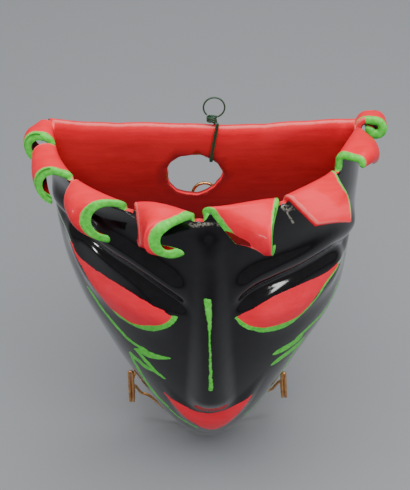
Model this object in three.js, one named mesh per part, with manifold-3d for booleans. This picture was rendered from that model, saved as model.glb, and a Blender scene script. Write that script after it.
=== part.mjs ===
// A hand-built ceramic wall pocket in the form of a face, on a brass wire stand.
// Millimetres, +Z up, the face looks along -Y. The mask is modelled upright, its flat back on
// the plane y = 0 and its lowest tip at the origin, and then leaned back on the stand.
import * as THREE from "three";
import { mergeVertices } from "three/addons/utils/BufferGeometryUtils.js";
import Module from "manifold-3d";

const wasm = await Module();
wasm.setup();

// Mask body
const HEIGHT = 247; // tip to the top edge of the back wall
const HALF_WIDTH = 101.5;
const DEPTH = 84;
const WALL = 4.5;
const WIDTH_POWERS = [3.04, 1.09]; // how fast the outline narrows to the chin
const DEPTH_POWERS = [4, 2];
const CHEEKS = { drawnIn: 5.8, z: 76, reach: 57 };
const SIDE_POWERS = [2.2, 1.8]; // at the chin and at the rim
const FRONT_POWER = 1.7;
const RIM_BELOW_BACK = 5.5; // the rim's ends lie this much under the back wall's top
const RIM_DROP = 20.5; // and the rim falls this much more at the front
const POCKET_FLOOR = 12;
const POCKET_ROUND = 26; // height over which the pocket's bottom rounds out

// Hole in the back wall
const HOLE_CENTRE = [-6, 211];
const HOLE_RADII = [18, 14.5];

// Stand and how the mask sits on it
const LEAN = THREE.MathUtils.degToRad(16);
const TIP_CLEARANCE = 4; // the chin's tip hangs this far above the ground
const WIRE = 1.05; // radius of the brass wire
const WIRE_SIDES = 8;
const BACK_GAP = 0.35; // between the back wall and the wires behind it
const STRANDS_APART = 2.35; // arms and hooks are hairpins: two strands side by side
const ARM_X = [-55.9, 57];
const ARM_Z = 35; // height of the arms above the ground
const HOOK_X = [-54.5, 54.8]; // tips of the hooks, bent in against the sides of the mask
const HOOK_Y = -7;
const HOOK_RISE = [39, 32];
const RING_X = 0.9;
const RING_RADIUS = 8;
const RING_HEIGHT = 193.5; // its centre, up the back wall
const KNEE = [51.6, 10.8, 26]; // the arms' inner strands end here, on the foot's two ends
const FOOT_X = 19;
const FOOT_Y = -3;
const PROP_HEIGHT = 170; // up the back wall
const PROP_X = 40;
const PROP_Y = 104;
const JOINT_GAP = 0.3; // left between wires that are soldered in the real stand
const FLAT = 0.15; // the feet are filed flat by this much where they stand

// Hanging wire
const GREEN_WIRE = 0.55;
const EYE = { x: 7.9, z: 257.7, radius: 6.8 };
const COLLAR = { x: 6.2, y: -2.2, z: 248, radius: 2.8, turns: 3, pitch: 1.25 };
const STRAND_TOP_X = 10;
const STRAND_HOLE = [5.4, 220.4]; // where the strands pass through the hole

const sind = (a) => Math.sin(THREE.MathUtils.degToRad(a));
const cosd = (a) => Math.cos(THREE.MathUtils.degToRad(a));
const signedPower = (v, p) => Math.sign(v) * Math.abs(v) ** p;
const bell = (v) => (Math.abs(v) >= 1 ? 0 : (1 - v * v) ** 2);
const smooth = (a, b, v) => THREE.MathUtils.smoothstep(v, Math.min(a, b), Math.max(a, b)) * (a < b ? 1 : -1)
  + (a < b ? 0 : 1);

const fromTop = (z) => Math.max(0, 1 - z / HEIGHT);
const halfWidth = (z) => HALF_WIDTH * (1 - fromTop(z) ** WIDTH_POWERS[0]) ** (1 / WIDTH_POWERS[1])
  - CHEEKS.drawnIn * bell((z - CHEEKS.z) / CHEEKS.reach);
const depthAt = (z) => DEPTH * (1 - fromTop(z) ** DEPTH_POWERS[0]) ** (1 / DEPTH_POWERS[1]);

// Sideways, the section is squarer at the chin and where the rim flares, most of all at the left.
function sidePower(phi, z) {
  const flare = phi < 0 ? 1.2 * smooth(212, 242, z) : 0.3 * smooth(180, 215, z);
  return THREE.MathUtils.lerp(SIDE_POWERS[0], SIDE_POWERS[1], Math.min(1, z / 215)) + flare;
}

// The pocket is hand-built and leans a little to one side in the middle.
const axisX = (z) => 1.7 + 2.4 * Math.exp(-(((z - 118) / 32) ** 2)) - 2.8 * Math.exp(-((z / 35) ** 2));

// The rim falls towards the front; its left end climbs to the top of the back wall.
function rimZ(phi) {
  const corner = 5 * smooth(-66, -89, phi) + 3 * bell((phi - 26) / 24);
  return HEIGHT - RIM_BELOW_BACK - RIM_DROP * Math.abs(cosd(phi)) ** 1.4 + corner;
}

// Height of the back wall's top above HEIGHT, by the fraction of the half width: it was cut freely.
const BACK_TOP = [
  [-1, 5.2], [-0.9, 4], [-0.78, 2.6], [-0.65, 1.5], [-0.45, 0.8], [-0.25, 0.1], [-0.08, -0.9],
  [0.08, -2.2], [0.18, -2.9], [0.31, -2.5], [0.44, -1.8], [0.55, -1.2], [0.77, -0.7], [1, -0.6],
];

// A point of the half-round section: phi runs from -90 at the left edge of the back to +90 at the right.
function sectionPoint(phi, z) {
  const x = axisX(z) + halfWidth(z) * signedPower(sind(phi), 2 / sidePower(phi, z));
  const y = -depthAt(z) * Math.abs(cosd(phi)) ** (2 / FRONT_POWER);
  return new THREE.Vector3(x, y, z);
}

function outward(phi, z) {
  const along = sectionPoint(phi + 0.05, z).sub(sectionPoint(phi - 0.05, z));
  return new THREE.Vector3(along.y, -along.x, 0).normalize();
}

// Heights of the grooves over the eyes and of the middle of the eyes, by angle round the face.
const GROOVE = [
  [-90, 197], [-62, 194.5], [-49.5, 191], [-40, 184.5], [-31, 179.5], [-22, 171.5], [-11.5, 159.5],
  [-2, 154], [9.5, 157.5], [18, 167], [28, 171], [42, 173.5], [54, 173.5], [68, 169], [90, 166],
];
const EYE_LINE = [
  [-63.5, 183], [-57.5, 169], [-51, 159.5], [-43, 154.5], [-28, 150.5], [-16, 148.5],
  [11, 148.5], [23, 146.5], [32, 146.5], [41, 148.5], [53.5, 154], [64.5, 162],
];
const NOSE_X = 1.5;

function readOff(table, at) {
  const next = table.findIndex(([key]) => key > at);
  if (next === 0) return table[0][1];
  if (next < 0) return table.at(-1)[1];
  const [low, high] = [table[next - 1], table[next]];
  return THREE.MathUtils.mapLinear(at, low[0], high[0], low[1], high[1]);
}

// Relief of the face, in mm along the outward direction.
function relief(phi, z) {
  const a = Math.abs(phi);
  const { x } = sectionPoint(phi, z);
  const noseWidth = THREE.MathUtils.mapLinear(z, 72, 200, 19, 11);
  const noseRise = 11 * smooth(61, 83, z) * (0.2 + 0.8 * smooth(205, 95, z)) * smooth(222, 195, z);
  const nose = noseRise * bell((x - NOSE_X) / noseWidth);
  const fromGroove = z - readOff(GROOVE, phi);
  const inner = smooth(7, 15, a);
  const groove = -3.2 * inner * Math.exp(-((fromGroove / 5.5) ** 2));
  const brow = 3.4 * inner * Math.exp(-(((fromGroove - 12) / 8) ** 2));
  const fromEye = z - readOff(EYE_LINE, phi);
  const eye = 3.4 * smooth(12, 22, a) * smooth(72, 56, a) * Math.exp(-((fromEye / 12) ** 2));
  const lips = 2.2 * smooth(30, 18, a) * bell((z - 48.5 - 0.036 * (phi + 2) ** 2) / 19);
  return (nose + groove + brow + eye + lips) * smooth(88, 70, a);
}

// The eight curled tabs, from the left end of the rim to the right. Each row gives, for the left
// and for the right cut edge: the angle on the rim, the skew of its path from straight outward,
// the straight rise, the radius of the first bend, how far the path then droops, the straight
// length, and the radius, turn and tightening of the final curl.
const EDGE = ["phi", "skew", "rise", "bend", "droop", "straight", "radius", "turn", "tighten"];
const TABS = [
  [[-88.7, -5.3, 0.5, 2.9, 42.3, 6.7, 8.4, 122.7, 0.1], [-74.6, -32.3, 0, 6, -2.1, 2.2, 9.2, 179.9, 0.2]],
  [[-73, -10, 0, 4, 0, 1, 6, 165, 0], [-53, -52.8, 0, 2.7, -15, 4.8, 12.8, 185.8, 0.3]],
  [[-49.1, 7.2, 0, 2.3, 46.1, 2.8, 11, 107.3, 0], [-27.4, -69.8, 0, 4, -13.4, 4.1, 12, 196.3, 0]],
  [[-24.3, 38.9, 2.4, 2.6, 66.5, 9.1, 11.2, 85.8, 0], [-4.5, -80, 0, 3.8, -5.9, 8.6, 9.5, 221, 0]],
  [[-1.5, 69, 4.7, 2.8, 49.4, 23.1, 3, 29, 0], [23.8, -37, 0.2, 3, 14.3, 15.7, 11, 187, 0]],
  [[26.5, 28, 0, 3, 33.4, 20.6, 8.6, 4.8, 0.2], [50.4, -41.2, 0, 2.3, -0.5, 24.5, 11.8, 91.9, 0]],
  [[53.8, 5.5, 6.4, 3.8, -1.5, 8.8, 3.1, 128.6, 0.4], [75.7, -34.4, 4.7, 3, 17.7, 8.6, 9.2, 138.9, 0.3]],
  [[79, 0, 5, 6, 0, 4.5, 5.4, 286, 0.42], [88.5, 0, 3, 6, 0, 3.5, 5.4, 286, 0.42]],
].map((edges) => edges.map((row) => Object.fromEntries(EDGE.map((key, i) => [key, row[i]]))));
const DOMES = [0.4, 0, 0.9, 4.7, 2.5, 1.1, 2.6, 0]; // extra rise in the middle of each tab
// How far the right edge of each tab stands out in front of the rest, and the thickness of its
// tip as a share of the wall.
const REACH = [0, 0, 3.1, 12.6, 0, 0, 0, 0];
const TIPS = [1.2, 1.15, 1.1, 1.15, 0.8, 0.85, 0.95, 1.4];
const TAB_ROWS = 11;
const TAB_STEP = 4.2; // degrees of rim between two columns of a tab

// Walks a tab's path from the rim and gives its two faces as rows of points.
function tabColumn(edge, reach, tip) {
  const foot = sectionPoint(edge.phi, rimZ(edge.phi));
  const out = outward(edge.phi, foot.z);
  const middle = foot.clone().addScaledVector(out, -WALL / 2);
  const turn = THREE.MathUtils.degToRad(edge.turn);
  const droop = THREE.MathUtils.degToRad(edge.droop);
  const lengths = [
    edge.rise,
    edge.bend * (Math.PI / 2 + droop),
    edge.straight,
    edge.radius * (1 - edge.tighten / 2) * turn,
  ];
  const total = lengths.reduce((sum, v) => sum + v, 0);
  const heading = (m) => {
    if (m < lengths[0]) return Math.PI / 2;
    if (m < lengths[0] + lengths[1]) return Math.PI / 2 - (m - lengths[0]) / edge.bend;
    const s = (m - lengths[0] - lengths[1] - lengths[2]) / edge.radius;
    if (s < 0) return -droop;
    if (edge.tighten === 0) return -droop - s;
    const left = Math.max(0, 1 - (2 * edge.tighten * s) / turn);
    return -droop - (turn / edge.tighten) * (1 - Math.sqrt(left));
  };
  const under = [];
  const upper = [];
  const fine = 8; // path steps for each row of points
  const step = total / (TAB_ROWS * fine);
  const at = middle.clone();
  for (let i = 1; i <= TAB_ROWS * fine; i += 1) {
    const m = (i - 0.5) * step;
    const skew = THREE.MathUtils.degToRad(edge.skew) * smooth(0, 7, m);
    const side = out.clone().applyAxisAngle(new THREE.Vector3(0, 0, 1), skew);
    const a = heading(m);
    at.addScaledVector(side, Math.cos(a) * step);
    at.z += Math.sin(a) * step;
    if (i % fine !== 0) continue;
    const half = (WALL / 2) * THREE.MathUtils.lerp(1, tip, i / (TAB_ROWS * fine));
    const placed = at.clone().addScaledVector(out, reach * smooth(2, 22, i * step));
    const across = side.clone().multiplyScalar(Math.sin(a) * half);
    across.z = -Math.cos(a) * half;
    under.push(placed.clone().add(across));
    upper.push(placed.clone().sub(across));
  }
  return { under, upper };
}

const INNER_ROWS = 8;
const BACK_COLUMNS = [0.97, 0.86, 0.6, 0.3, 0, -0.3, -0.6, -0.86, -0.97];

// Heights of the outer rows of a column, following the groove at its side of the face.
function rowHeights(top, groove) {
  const bands = [
    [0, 30, 5],
    [30, 80, 7],
    [80, groove - 27, 4],
    [groove - 27, groove + 18, 9],
    [groove + 18, top, 4],
  ];
  return bands.flatMap(([from, to, count]) => {
    const power = from === 0 ? 1.6 : 1;
    return Array.from({ length: count }, (_, i) => from + (to - from) * ((i + 1) / count) ** power);
  });
}
const OUTER_ROWS = rowHeights(HEIGHT, HEIGHT / 2).length;

function frontColumn(phi) {
  const top = rimZ(phi);
  const outer = [];
  rowHeights(top, readOff(GROOVE, phi)).forEach((z) => {
    const raised = relief(phi, z) * smooth(top, top - 15, z);
    outer.push(sectionPoint(phi, z).addScaledVector(outward(phi, z), raised));
  });
  const inner = [];
  for (let i = 1; i <= INNER_ROWS; i += 1) {
    const z = POCKET_FLOOR + (top - POCKET_FLOOR) * (i / INNER_ROWS) ** 1.4;
    const u = Math.min(1, (z - POCKET_FLOOR) / POCKET_ROUND);
    const round = Math.sqrt(1 - (1 - u) ** 2);
    const x = (halfWidth(z) - WALL) * round * signedPower(sind(phi), 2 / sidePower(phi, z));
    const y = -WALL - (depthAt(z) - 2 * WALL) * round * Math.abs(cosd(phi)) ** (2 / FRONT_POWER);
    inner.push(new THREE.Vector3(axisX(z) + x, y, z));
  }
  return { outer, inner };
}

function backColumn(fraction) {
  const outer = [];
  const groove = THREE.MathUtils.lerp(GROOVE[0][1], GROOVE.at(-1)[1], (fraction + 1) / 2);
  const top = HEIGHT + readOff(BACK_TOP, fraction);
  rowHeights(top, groove).forEach((z) => {
    outer.push(new THREE.Vector3(axisX(z) + fraction * halfWidth(z), 0, z));
  });
  const inner = [];
  for (let i = 1; i <= INNER_ROWS; i += 1) {
    const z = POCKET_FLOOR + (top - POCKET_FLOOR) * (i / INNER_ROWS) ** 1.4;
    const u = Math.min(1, (z - POCKET_FLOOR) / POCKET_ROUND);
    const round = Math.sqrt(1 - (1 - u) ** 2);
    inner.push(new THREE.Vector3(axisX(z) + fraction * (halfWidth(z) - WALL) * round, -WALL, z));
  }
  return { outer, inner };
}

// Columns of the whole loop: left corner, tabs, right corner, back wall.
function maskColumns() {
  const columns = [frontColumn(-90)];
  TABS.forEach((edges, tab) => {
    const count = Math.max(2, Math.round((edges[1].phi - edges[0].phi) / TAB_STEP));
    for (let i = 0; i <= count; i += 1) {
      const edge = {};
      EDGE.forEach((key) => {
        edge[key] = THREE.MathUtils.lerp(edges[0][key], edges[1][key], i / count);
      });
      edge.rise += DOMES[tab] * (1 - ((2 * i) / count - 1) ** 2);
      const reach = REACH[tab] * (i / count) ** 2;
      columns.push({ ...frontColumn(edge.phi), ...tabColumn(edge, reach, TIPS[tab]), tab });
    }
  });
  columns.push(frontColumn(90));
  BACK_COLUMNS.forEach((fraction) => columns.push(backColumn(fraction)));
  return columns;
}

function maskGeometry() {
  const columns = maskColumns();
  const positions = [];
  const triangles = [];
  const addVertex = (p) => positions.push(p.x, p.y, p.z) / 3 - 1;
  const quad = (a, b, c, d) => triangles.push(a, b, c, a, c, d);
  const lowTip = addVertex(new THREE.Vector3(axisX(0), 0, 0));
  const pocketTip = addVertex(new THREE.Vector3(axisX(POCKET_FLOOR), -WALL, POCKET_FLOOR));
  const rows = columns.map((column) => ({
    tab: column.tab,
    outer: column.outer.map(addVertex),
    inner: column.inner.map(addVertex),
    under: (column.under ?? []).map(addVertex),
    upper: (column.upper ?? []).map(addVertex),
  }));
  rows.forEach((here, i) => {
    const next = rows[(i + 1) % rows.length];
    triangles.push(lowTip, next.outer[0], here.outer[0]);
    triangles.push(pocketTip, here.inner[0], next.inner[0]);
    for (let r = 1; r < OUTER_ROWS; r += 1) {
      quad(here.outer[r - 1], next.outer[r - 1], next.outer[r], here.outer[r]);
    }
    for (let r = 1; r < INNER_ROWS; r += 1) {
      quad(here.inner[r], next.inner[r], next.inner[r - 1], here.inner[r - 1]);
    }
    const sameTab = here.tab !== undefined && here.tab === next.tab;
    if (sameTab) {
      const under = [here, next].map((c) => [c.outer.at(-1), ...c.under]);
      const upper = [here, next].map((c) => [c.inner.at(-1), ...c.upper]);
      for (let r = 1; r <= TAB_ROWS; r += 1) {
        quad(under[0][r - 1], under[1][r - 1], under[1][r], under[0][r]);
        quad(upper[0][r], upper[1][r], upper[1][r - 1], upper[0][r - 1]);
      }
      quad(under[0][TAB_ROWS], under[1][TAB_ROWS], upper[1][TAB_ROWS], upper[0][TAB_ROWS]);
    } else {
      quad(here.outer.at(-1), next.outer.at(-1), next.inner.at(-1), here.inner.at(-1));
    }
    const previous = rows[(i + rows.length - 1) % rows.length];
    [[previous, false], [next, true]].forEach(([neighbour, isRight]) => {
      if (here.tab === undefined || here.tab === neighbour.tab) return;
      const under = [here.outer.at(-1), ...here.under];
      const upper = [here.inner.at(-1), ...here.upper];
      for (let r = 1; r <= TAB_ROWS; r += 1) {
        if (isRight) quad(under[r - 1], upper[r - 1], upper[r], under[r]);
        else quad(under[r], upper[r], upper[r - 1], under[r - 1]);
      }
    });
  });
  const geometry = new THREE.BufferGeometry();
  geometry.setAttribute("position", new THREE.Float32BufferAttribute(positions, 3));
  geometry.setIndex(triangles);
  return geometry;
}

function toManifold(geometry) {
  const bare = geometry.clone();
  bare.deleteAttribute("normal");
  bare.deleteAttribute("uv");
  const merged = mergeVertices(bare, 1e-4);
  return new wasm.Manifold(new wasm.Mesh({
    numProp: 3,
    vertProperties: new Float32Array(merged.attributes.position.array),
    triVerts: new Uint32Array(merged.index.array),
  }));
}

function fromManifold(solid) {
  const mesh = solid.getMesh();
  const geometry = new THREE.BufferGeometry();
  geometry.setAttribute("position", new THREE.BufferAttribute(new Float32Array(mesh.vertProperties), 3));
  geometry.setIndex(new THREE.BufferAttribute(new Uint32Array(mesh.triVerts), 1));
  return geometry;
}

// The hanging hole, an oval cut by hand: its edge wanders a little.
function holeGeometry() {
  const outline = new THREE.Shape();
  const corners = 18;
  for (let i = 0; i < corners; i += 1) {
    const a = (2 * Math.PI * i) / corners;
    const wander = 1 + 0.03 * Math.sin(3 * a + 1) + 0.02 * Math.cos(5 * a);
    const point = [Math.cos(a) * HOLE_RADII[0] * wander, Math.sin(a) * HOLE_RADII[1] * wander];
    if (i === 0) outline.moveTo(...point);
    else outline.lineTo(...point);
  }
  const plug = new THREE.ExtrudeGeometry(outline, { depth: 3 * WALL, bevelEnabled: false });
  plug.rotateX(Math.PI / 2);
  return plug.translate(HOLE_CENTRE[0], WALL, HOLE_CENTRE[1]);
}

// A bent wire: straight runs through the given points, with round corners.
function wireGeometry(points, bendRadius, radius, sides, cornerSteps = 4) {
  const corners = points.map((p) => new THREE.Vector3(...p));
  const route = [corners[0].clone()];
  for (let i = 1; i < corners.length - 1; i += 1) {
    const back = corners[i - 1].clone().sub(corners[i]);
    const ahead = corners[i + 1].clone().sub(corners[i]);
    const reach = Math.min(bendRadius, back.length() * 0.48, ahead.length() * 0.48);
    const start = corners[i].clone().addScaledVector(back.normalize(), reach);
    const end = corners[i].clone().addScaledVector(ahead.normalize(), reach);
    const bend = new THREE.QuadraticBezierCurve3(start, corners[i], end);
    route.push(...bend.getPoints(cornerSteps));
  }
  route.push(corners.at(-1).clone());
  return sweptGeometry(new PolylineCurve(route), route.length - 1, radius, sides);
}

// A curve whose equal parameter steps fall exactly on the listed points.
class PolylineCurve extends THREE.Curve {
  constructor(points) {
    super();
    this.points = points;
  }

  getPoint(t, target = new THREE.Vector3()) {
    const place = t * (this.points.length - 1);
    const index = Math.min(Math.floor(place), this.points.length - 2);
    return target.lerpVectors(this.points[index], this.points[index + 1], place - index);
  }

  getPointAt(t, target) {
    return this.getPoint(t, target);
  }

  getTangent(t, target = new THREE.Vector3()) {
    const place = Math.round(t * (this.points.length - 1));
    const before = this.points[Math.max(place - 1, 0)];
    const after = this.points[Math.min(place + 1, this.points.length - 1)];
    return target.subVectors(after, before).normalize();
  }

  getTangentAt(t, target) {
    return this.getTangent(t, target);
  }
}

function sweptGeometry(curve, steps, radius, sides) {
  const circle = new THREE.Shape();
  for (let i = 0; i < sides; i += 1) {
    const a = (2 * Math.PI * (i + 0.5)) / sides;
    if (i === 0) circle.moveTo(radius * Math.cos(a), radius * Math.sin(a));
    else circle.lineTo(radius * Math.cos(a), radius * Math.sin(a));
  }
  return new THREE.ExtrudeGeometry(circle, { steps, extrudePath: curve, bevelEnabled: false });
}

// Turns a point given on the upright mask into one on the leaning mask, above the ground.
function onMask(x, y, z) {
  const c = Math.cos(LEAN);
  const s = Math.sin(LEAN);
  return [x, y * c + z * s, TIP_CLEARANCE - y * s + z * c];
}

// Cuts a foot's wire flat where it stands on the ground.
function filedFlat(geometry) {
  const ground = new THREE.BoxGeometry(300, 300, 20).translate(0, 0, -10);
  return fromManifold(toManifold(geometry).subtract(toManifold(ground)));
}

const BEHIND = BACK_GAP + WIRE; // wires behind the back wall run at this distance from it

// One side: down behind the back wall, forward as the arm, up and over as the hook, and back.
function standSide(side) {
  const ringFoot = RING_HEIGHT - RING_RADIUS - 2 * WIRE - JOINT_GAP;
  const rearY = onMask(0, BEHIND, (ARM_Z - TIP_CLEARANCE) / Math.cos(LEAN))[1];
  const half = (side * STRANDS_APART) / 2;
  const [arm, tip, rise] = [ARM_X, HOOK_X, HOOK_RISE].map((pair) => pair[side < 0 ? 0 : 1]);
  const route = [
    onMask(RING_X + side * (WIRE + JOINT_GAP / 2 + 0.1), BEHIND, ringFoot),
    [arm + half, rearY, ARM_Z],
    [arm + half, HOOK_Y, ARM_Z],
    [tip + half, HOOK_Y, ARM_Z + rise],
    [tip - half, HOOK_Y, ARM_Z + rise],
    [arm - half, HOOK_Y, ARM_Z],
    [arm - half, rearY, ARM_Z],
    [side * KNEE[0], KNEE[1], KNEE[2]],
  ];
  return wireGeometry(route, 4, WIRE, WIRE_SIDES);
}

function standRing() {
  const points = [];
  const steps = 20;
  for (let i = 0; i <= steps; i += 1) {
    const a = THREE.MathUtils.degToRad(-84 + (348 * i) / steps);
    const x = RING_X + RING_RADIUS * Math.cos(a);
    points.push(new THREE.Vector3(...onMask(x, BEHIND, RING_HEIGHT + RING_RADIUS * Math.sin(a))));
  }
  return sweptGeometry(new PolylineCurve(points), steps, WIRE, WIRE_SIDES);
}

function standFoot() {
  const low = WIRE - FLAT;
  const half = [
    [KNEE[0] - 0.12, KNEE[1], KNEE[2] - JOINT_GAP],
    [KNEE[0] - 1.6, KNEE[1], KNEE[2] - 4],
    [44.8, 10, 20.7],
    [FOOT_X, FOOT_Y, low],
  ];
  const mirrored = half.map(([x, y, z]) => [-x, y, z]).reverse();
  return filedFlat(wireGeometry([...half, ...mirrored], 6, WIRE, WIRE_SIDES));
}

function standProp() {
  const low = WIRE - FLAT;
  const top = onMask(6, BEHIND + 2 * WIRE + JOINT_GAP, PROP_HEIGHT);
  const half = [top, [PROP_X, PROP_Y, low]];
  const mirrored = half.map(([x, y, z]) => [-x, y, z]).reverse();
  return filedFlat(wireGeometry([...half, ...mirrored], 8, WIRE, WIRE_SIDES));
}

// The hanging wire: an eye above the edge, a collar wound under it, and a doubled loop that
// goes down inside the pocket, out through the hole and up again behind.
function hangingWire() {
  const collarTop = COLLAR.z + COLLAR.turns * COLLAR.pitch;
  const eye = [];
  for (let i = 0; i <= 20; i += 1) {
    const a = THREE.MathUtils.degToRad(-105 + (330 * i) / 20);
    eye.push(new THREE.Vector3(EYE.x + EYE.radius * Math.cos(a), COLLAR.y, EYE.z + EYE.radius * Math.sin(a)));
  }
  const coil = [];
  for (let i = 0; i <= 36; i += 1) {
    const a = (2 * Math.PI * COLLAR.turns * i) / 36;
    const z = COLLAR.z + (COLLAR.turns * COLLAR.pitch * i) / 36;
    coil.push(new THREE.Vector3(
      COLLAR.x + COLLAR.radius * Math.cos(a),
      COLLAR.y + COLLAR.radius * Math.sin(a),
      z,
    ));
  }
  const inside = -WALL - 0.35 - GREEN_WIRE;
  const behind = 0.35 + GREEN_WIRE;
  const over = HEIGHT + 0.35 + GREEN_WIRE;
  const strand = (shift) => wireGeometry([
    [COLLAR.x + shift, COLLAR.y, collarTop],
    [COLLAR.x + shift, COLLAR.y, over],
    [STRAND_TOP_X + shift, inside, over],
    [STRAND_HOLE[0] + 1 + shift, inside, STRAND_HOLE[1] + 8],
    [STRAND_HOLE[0] + shift, inside, STRAND_HOLE[1]],
    [STRAND_HOLE[0] + shift, behind, STRAND_HOLE[1]],
    [STRAND_TOP_X - 1 + shift, behind, over],
    [COLLAR.x + 1.2 + shift, COLLAR.y + 1.2, over + 0.4],
  ], 1.6, GREEN_WIRE, 6, 3);
  const pieces = [
    sweptGeometry(new PolylineCurve(eye), 20, GREEN_WIRE, 6),
    sweptGeometry(new PolylineCurve(coil), 36, GREEN_WIRE, 6),
    strand(-GREEN_WIRE * 0.95),
    strand(GREEN_WIRE * 0.95),
  ];
  return fromManifold(pieces.map(toManifold).reduce((all, piece) => all.add(piece)));
}

const glaze = new THREE.MeshStandardMaterial({ color: 0x1d1d20, roughness: 0.12, metalness: 0 });
const brass = new THREE.MeshStandardMaterial({ color: 0xb98a4e, roughness: 0.3, metalness: 1 });
const green = new THREE.MeshStandardMaterial({ color: 0x1e5a3c, roughness: 0.4, metalness: 0 });

const object = new THREE.Group();

function addPiece(name, geometry, material, leans = false) {
  const piece = new THREE.Mesh(geometry, material.clone());
  piece.name = name;
  if (leans) {
    piece.rotation.x = -LEAN;
    piece.position.z = TIP_CLEARANCE;
  }
  object.add(piece);
}

const pocket = toManifold(maskGeometry()).subtract(toManifold(holeGeometry()));
addPiece("mask", fromManifold(pocket), glaze, true);
addPiece("hanging_wire", hangingWire(), green, true);
addPiece("stand_ring", standRing(), brass);
addPiece("stand_side_left", standSide(-1), brass);
addPiece("stand_side_right", standSide(1), brass);
addPiece("stand_front_foot", standFoot(), brass);
addPiece("stand_rear_prop", standProp(), brass);

// The origin lies under the middle of the whole, on the ground.
const middle = new THREE.Box3().setFromObject(object, true).getCenter(new THREE.Vector3());
object.position.set(-middle.x, -middle.y, 0);
const group = new THREE.Group();
group.add(object);

export default group;
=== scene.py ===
# %% [markdown]
# # A ceramic face mask on a wire stand
#
# The object is a hand-built wall pocket: half a vase with a flat back, whose front is a stylised face.
# Its rim is slit into eight tabs that curl outward like paper. It is glazed black outside and painted
# red inside, with green on the cut edges and on the strokes of the face. A green wire passes
# through a hole in the back for hanging, and a bent brass wire stand holds it up.
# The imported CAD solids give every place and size; this script replaces each of them with a finer piece.

# %% Load the frame
import math

import bpy
import numpy as np
from mathutils import Matrix, Vector


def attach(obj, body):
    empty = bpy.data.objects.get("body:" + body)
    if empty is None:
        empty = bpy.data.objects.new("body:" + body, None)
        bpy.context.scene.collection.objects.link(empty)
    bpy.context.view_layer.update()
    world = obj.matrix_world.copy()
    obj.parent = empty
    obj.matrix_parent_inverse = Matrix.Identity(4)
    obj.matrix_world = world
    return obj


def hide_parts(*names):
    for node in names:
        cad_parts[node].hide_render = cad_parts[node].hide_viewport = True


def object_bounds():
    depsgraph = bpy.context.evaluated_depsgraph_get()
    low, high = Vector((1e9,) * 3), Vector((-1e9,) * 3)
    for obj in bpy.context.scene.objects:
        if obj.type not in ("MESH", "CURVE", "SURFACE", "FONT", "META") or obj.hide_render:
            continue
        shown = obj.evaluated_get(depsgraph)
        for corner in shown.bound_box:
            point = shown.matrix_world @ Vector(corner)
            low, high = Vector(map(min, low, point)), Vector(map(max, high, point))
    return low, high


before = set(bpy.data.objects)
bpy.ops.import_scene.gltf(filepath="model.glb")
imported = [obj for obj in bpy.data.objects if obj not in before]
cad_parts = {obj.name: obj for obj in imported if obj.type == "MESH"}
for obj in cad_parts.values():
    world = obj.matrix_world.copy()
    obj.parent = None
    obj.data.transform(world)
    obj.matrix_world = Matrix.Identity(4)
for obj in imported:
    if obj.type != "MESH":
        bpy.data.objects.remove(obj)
cad_box = [list(corner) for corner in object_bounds()]
print("CAD box", cad_box)

# %% [markdown]
# ## Where things are
#
# The mask is easiest to describe standing upright, with its flat back on the plane y = 0 and the tip
# of its chin at the origin, in millimetres. `to_ground` then leans it back 16 degrees,
# lifts it onto the stand and turns millimetres into metres.

# %% The lean and the place of the mask
LEAN = math.radians(16)
TIP_CLEARANCE = 4.0
SHIFT_X = -1.78682
SHIFT_Y = -22.67804


def to_ground(points):
    """Points of the upright mask (mm) as points of the leaning one (m)."""
    p = np.asarray(points, float)
    c, s = math.cos(LEAN), math.sin(LEAN)
    x = p[..., 0] + SHIFT_X
    y = p[..., 1] * c + p[..., 2] * s + SHIFT_Y
    z = p[..., 2] * c - p[..., 1] * s + TIP_CLEARANCE
    return np.stack([x, y, z], axis=-1) / 1000


def upright(points_in_metres):
    """The way back from the leaning mask (m) to the upright one (mm)."""
    p = np.asarray(points_in_metres) * 1000 - [SHIFT_X, SHIFT_Y, TIP_CLEARANCE]
    c, s = math.cos(LEAN), math.sin(LEAN)
    return np.stack([p[:, 0], p[:, 1] * c - p[:, 2] * s, p[:, 1] * s + p[:, 2] * c], axis=-1)


def on_stand(points):
    """Points measured from under the chin's tip, z up from the ground (mm), in metres."""
    return (np.asarray(points, float) + [SHIFT_X, SHIFT_Y, 0]) / 1000


print("the mask leans back", round(math.degrees(LEAN)), "degrees")

# %% [markdown]
# ## The camera
#
# The photograph looks down on the mask from in front with a fairly long lens. The camera's
# place was worked out against the upright mask, so it is built there and carried along with the lean.

# %% Camera
AZIMUTH, ELEVATION, ROLL = math.radians(-1.0), math.radians(33.0), math.radians(1.05)
TARGET, DISTANCE = Vector((0, -30, 150)), 736.4  # mm, about the upright mask
LENS, SENSOR_WIDTH = 80.8, 36  # mm
FRAME_SHIFT = (-0.001, 0.0576)  # in widths of the frame


def camera_axes():
    """The camera's right, up and backward directions, before the mask leans back."""
    back = Vector((math.sin(AZIMUTH) * math.cos(ELEVATION), -math.cos(AZIMUTH) * math.cos(ELEVATION),
                   math.sin(ELEVATION)))
    right = Vector((math.cos(AZIMUTH), math.sin(AZIMUTH), 0))
    up = back.cross(right)
    across = right * math.cos(ROLL) - up * math.sin(ROLL)
    above = right * math.sin(ROLL) + up * math.cos(ROLL)
    return across, above, back


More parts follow.
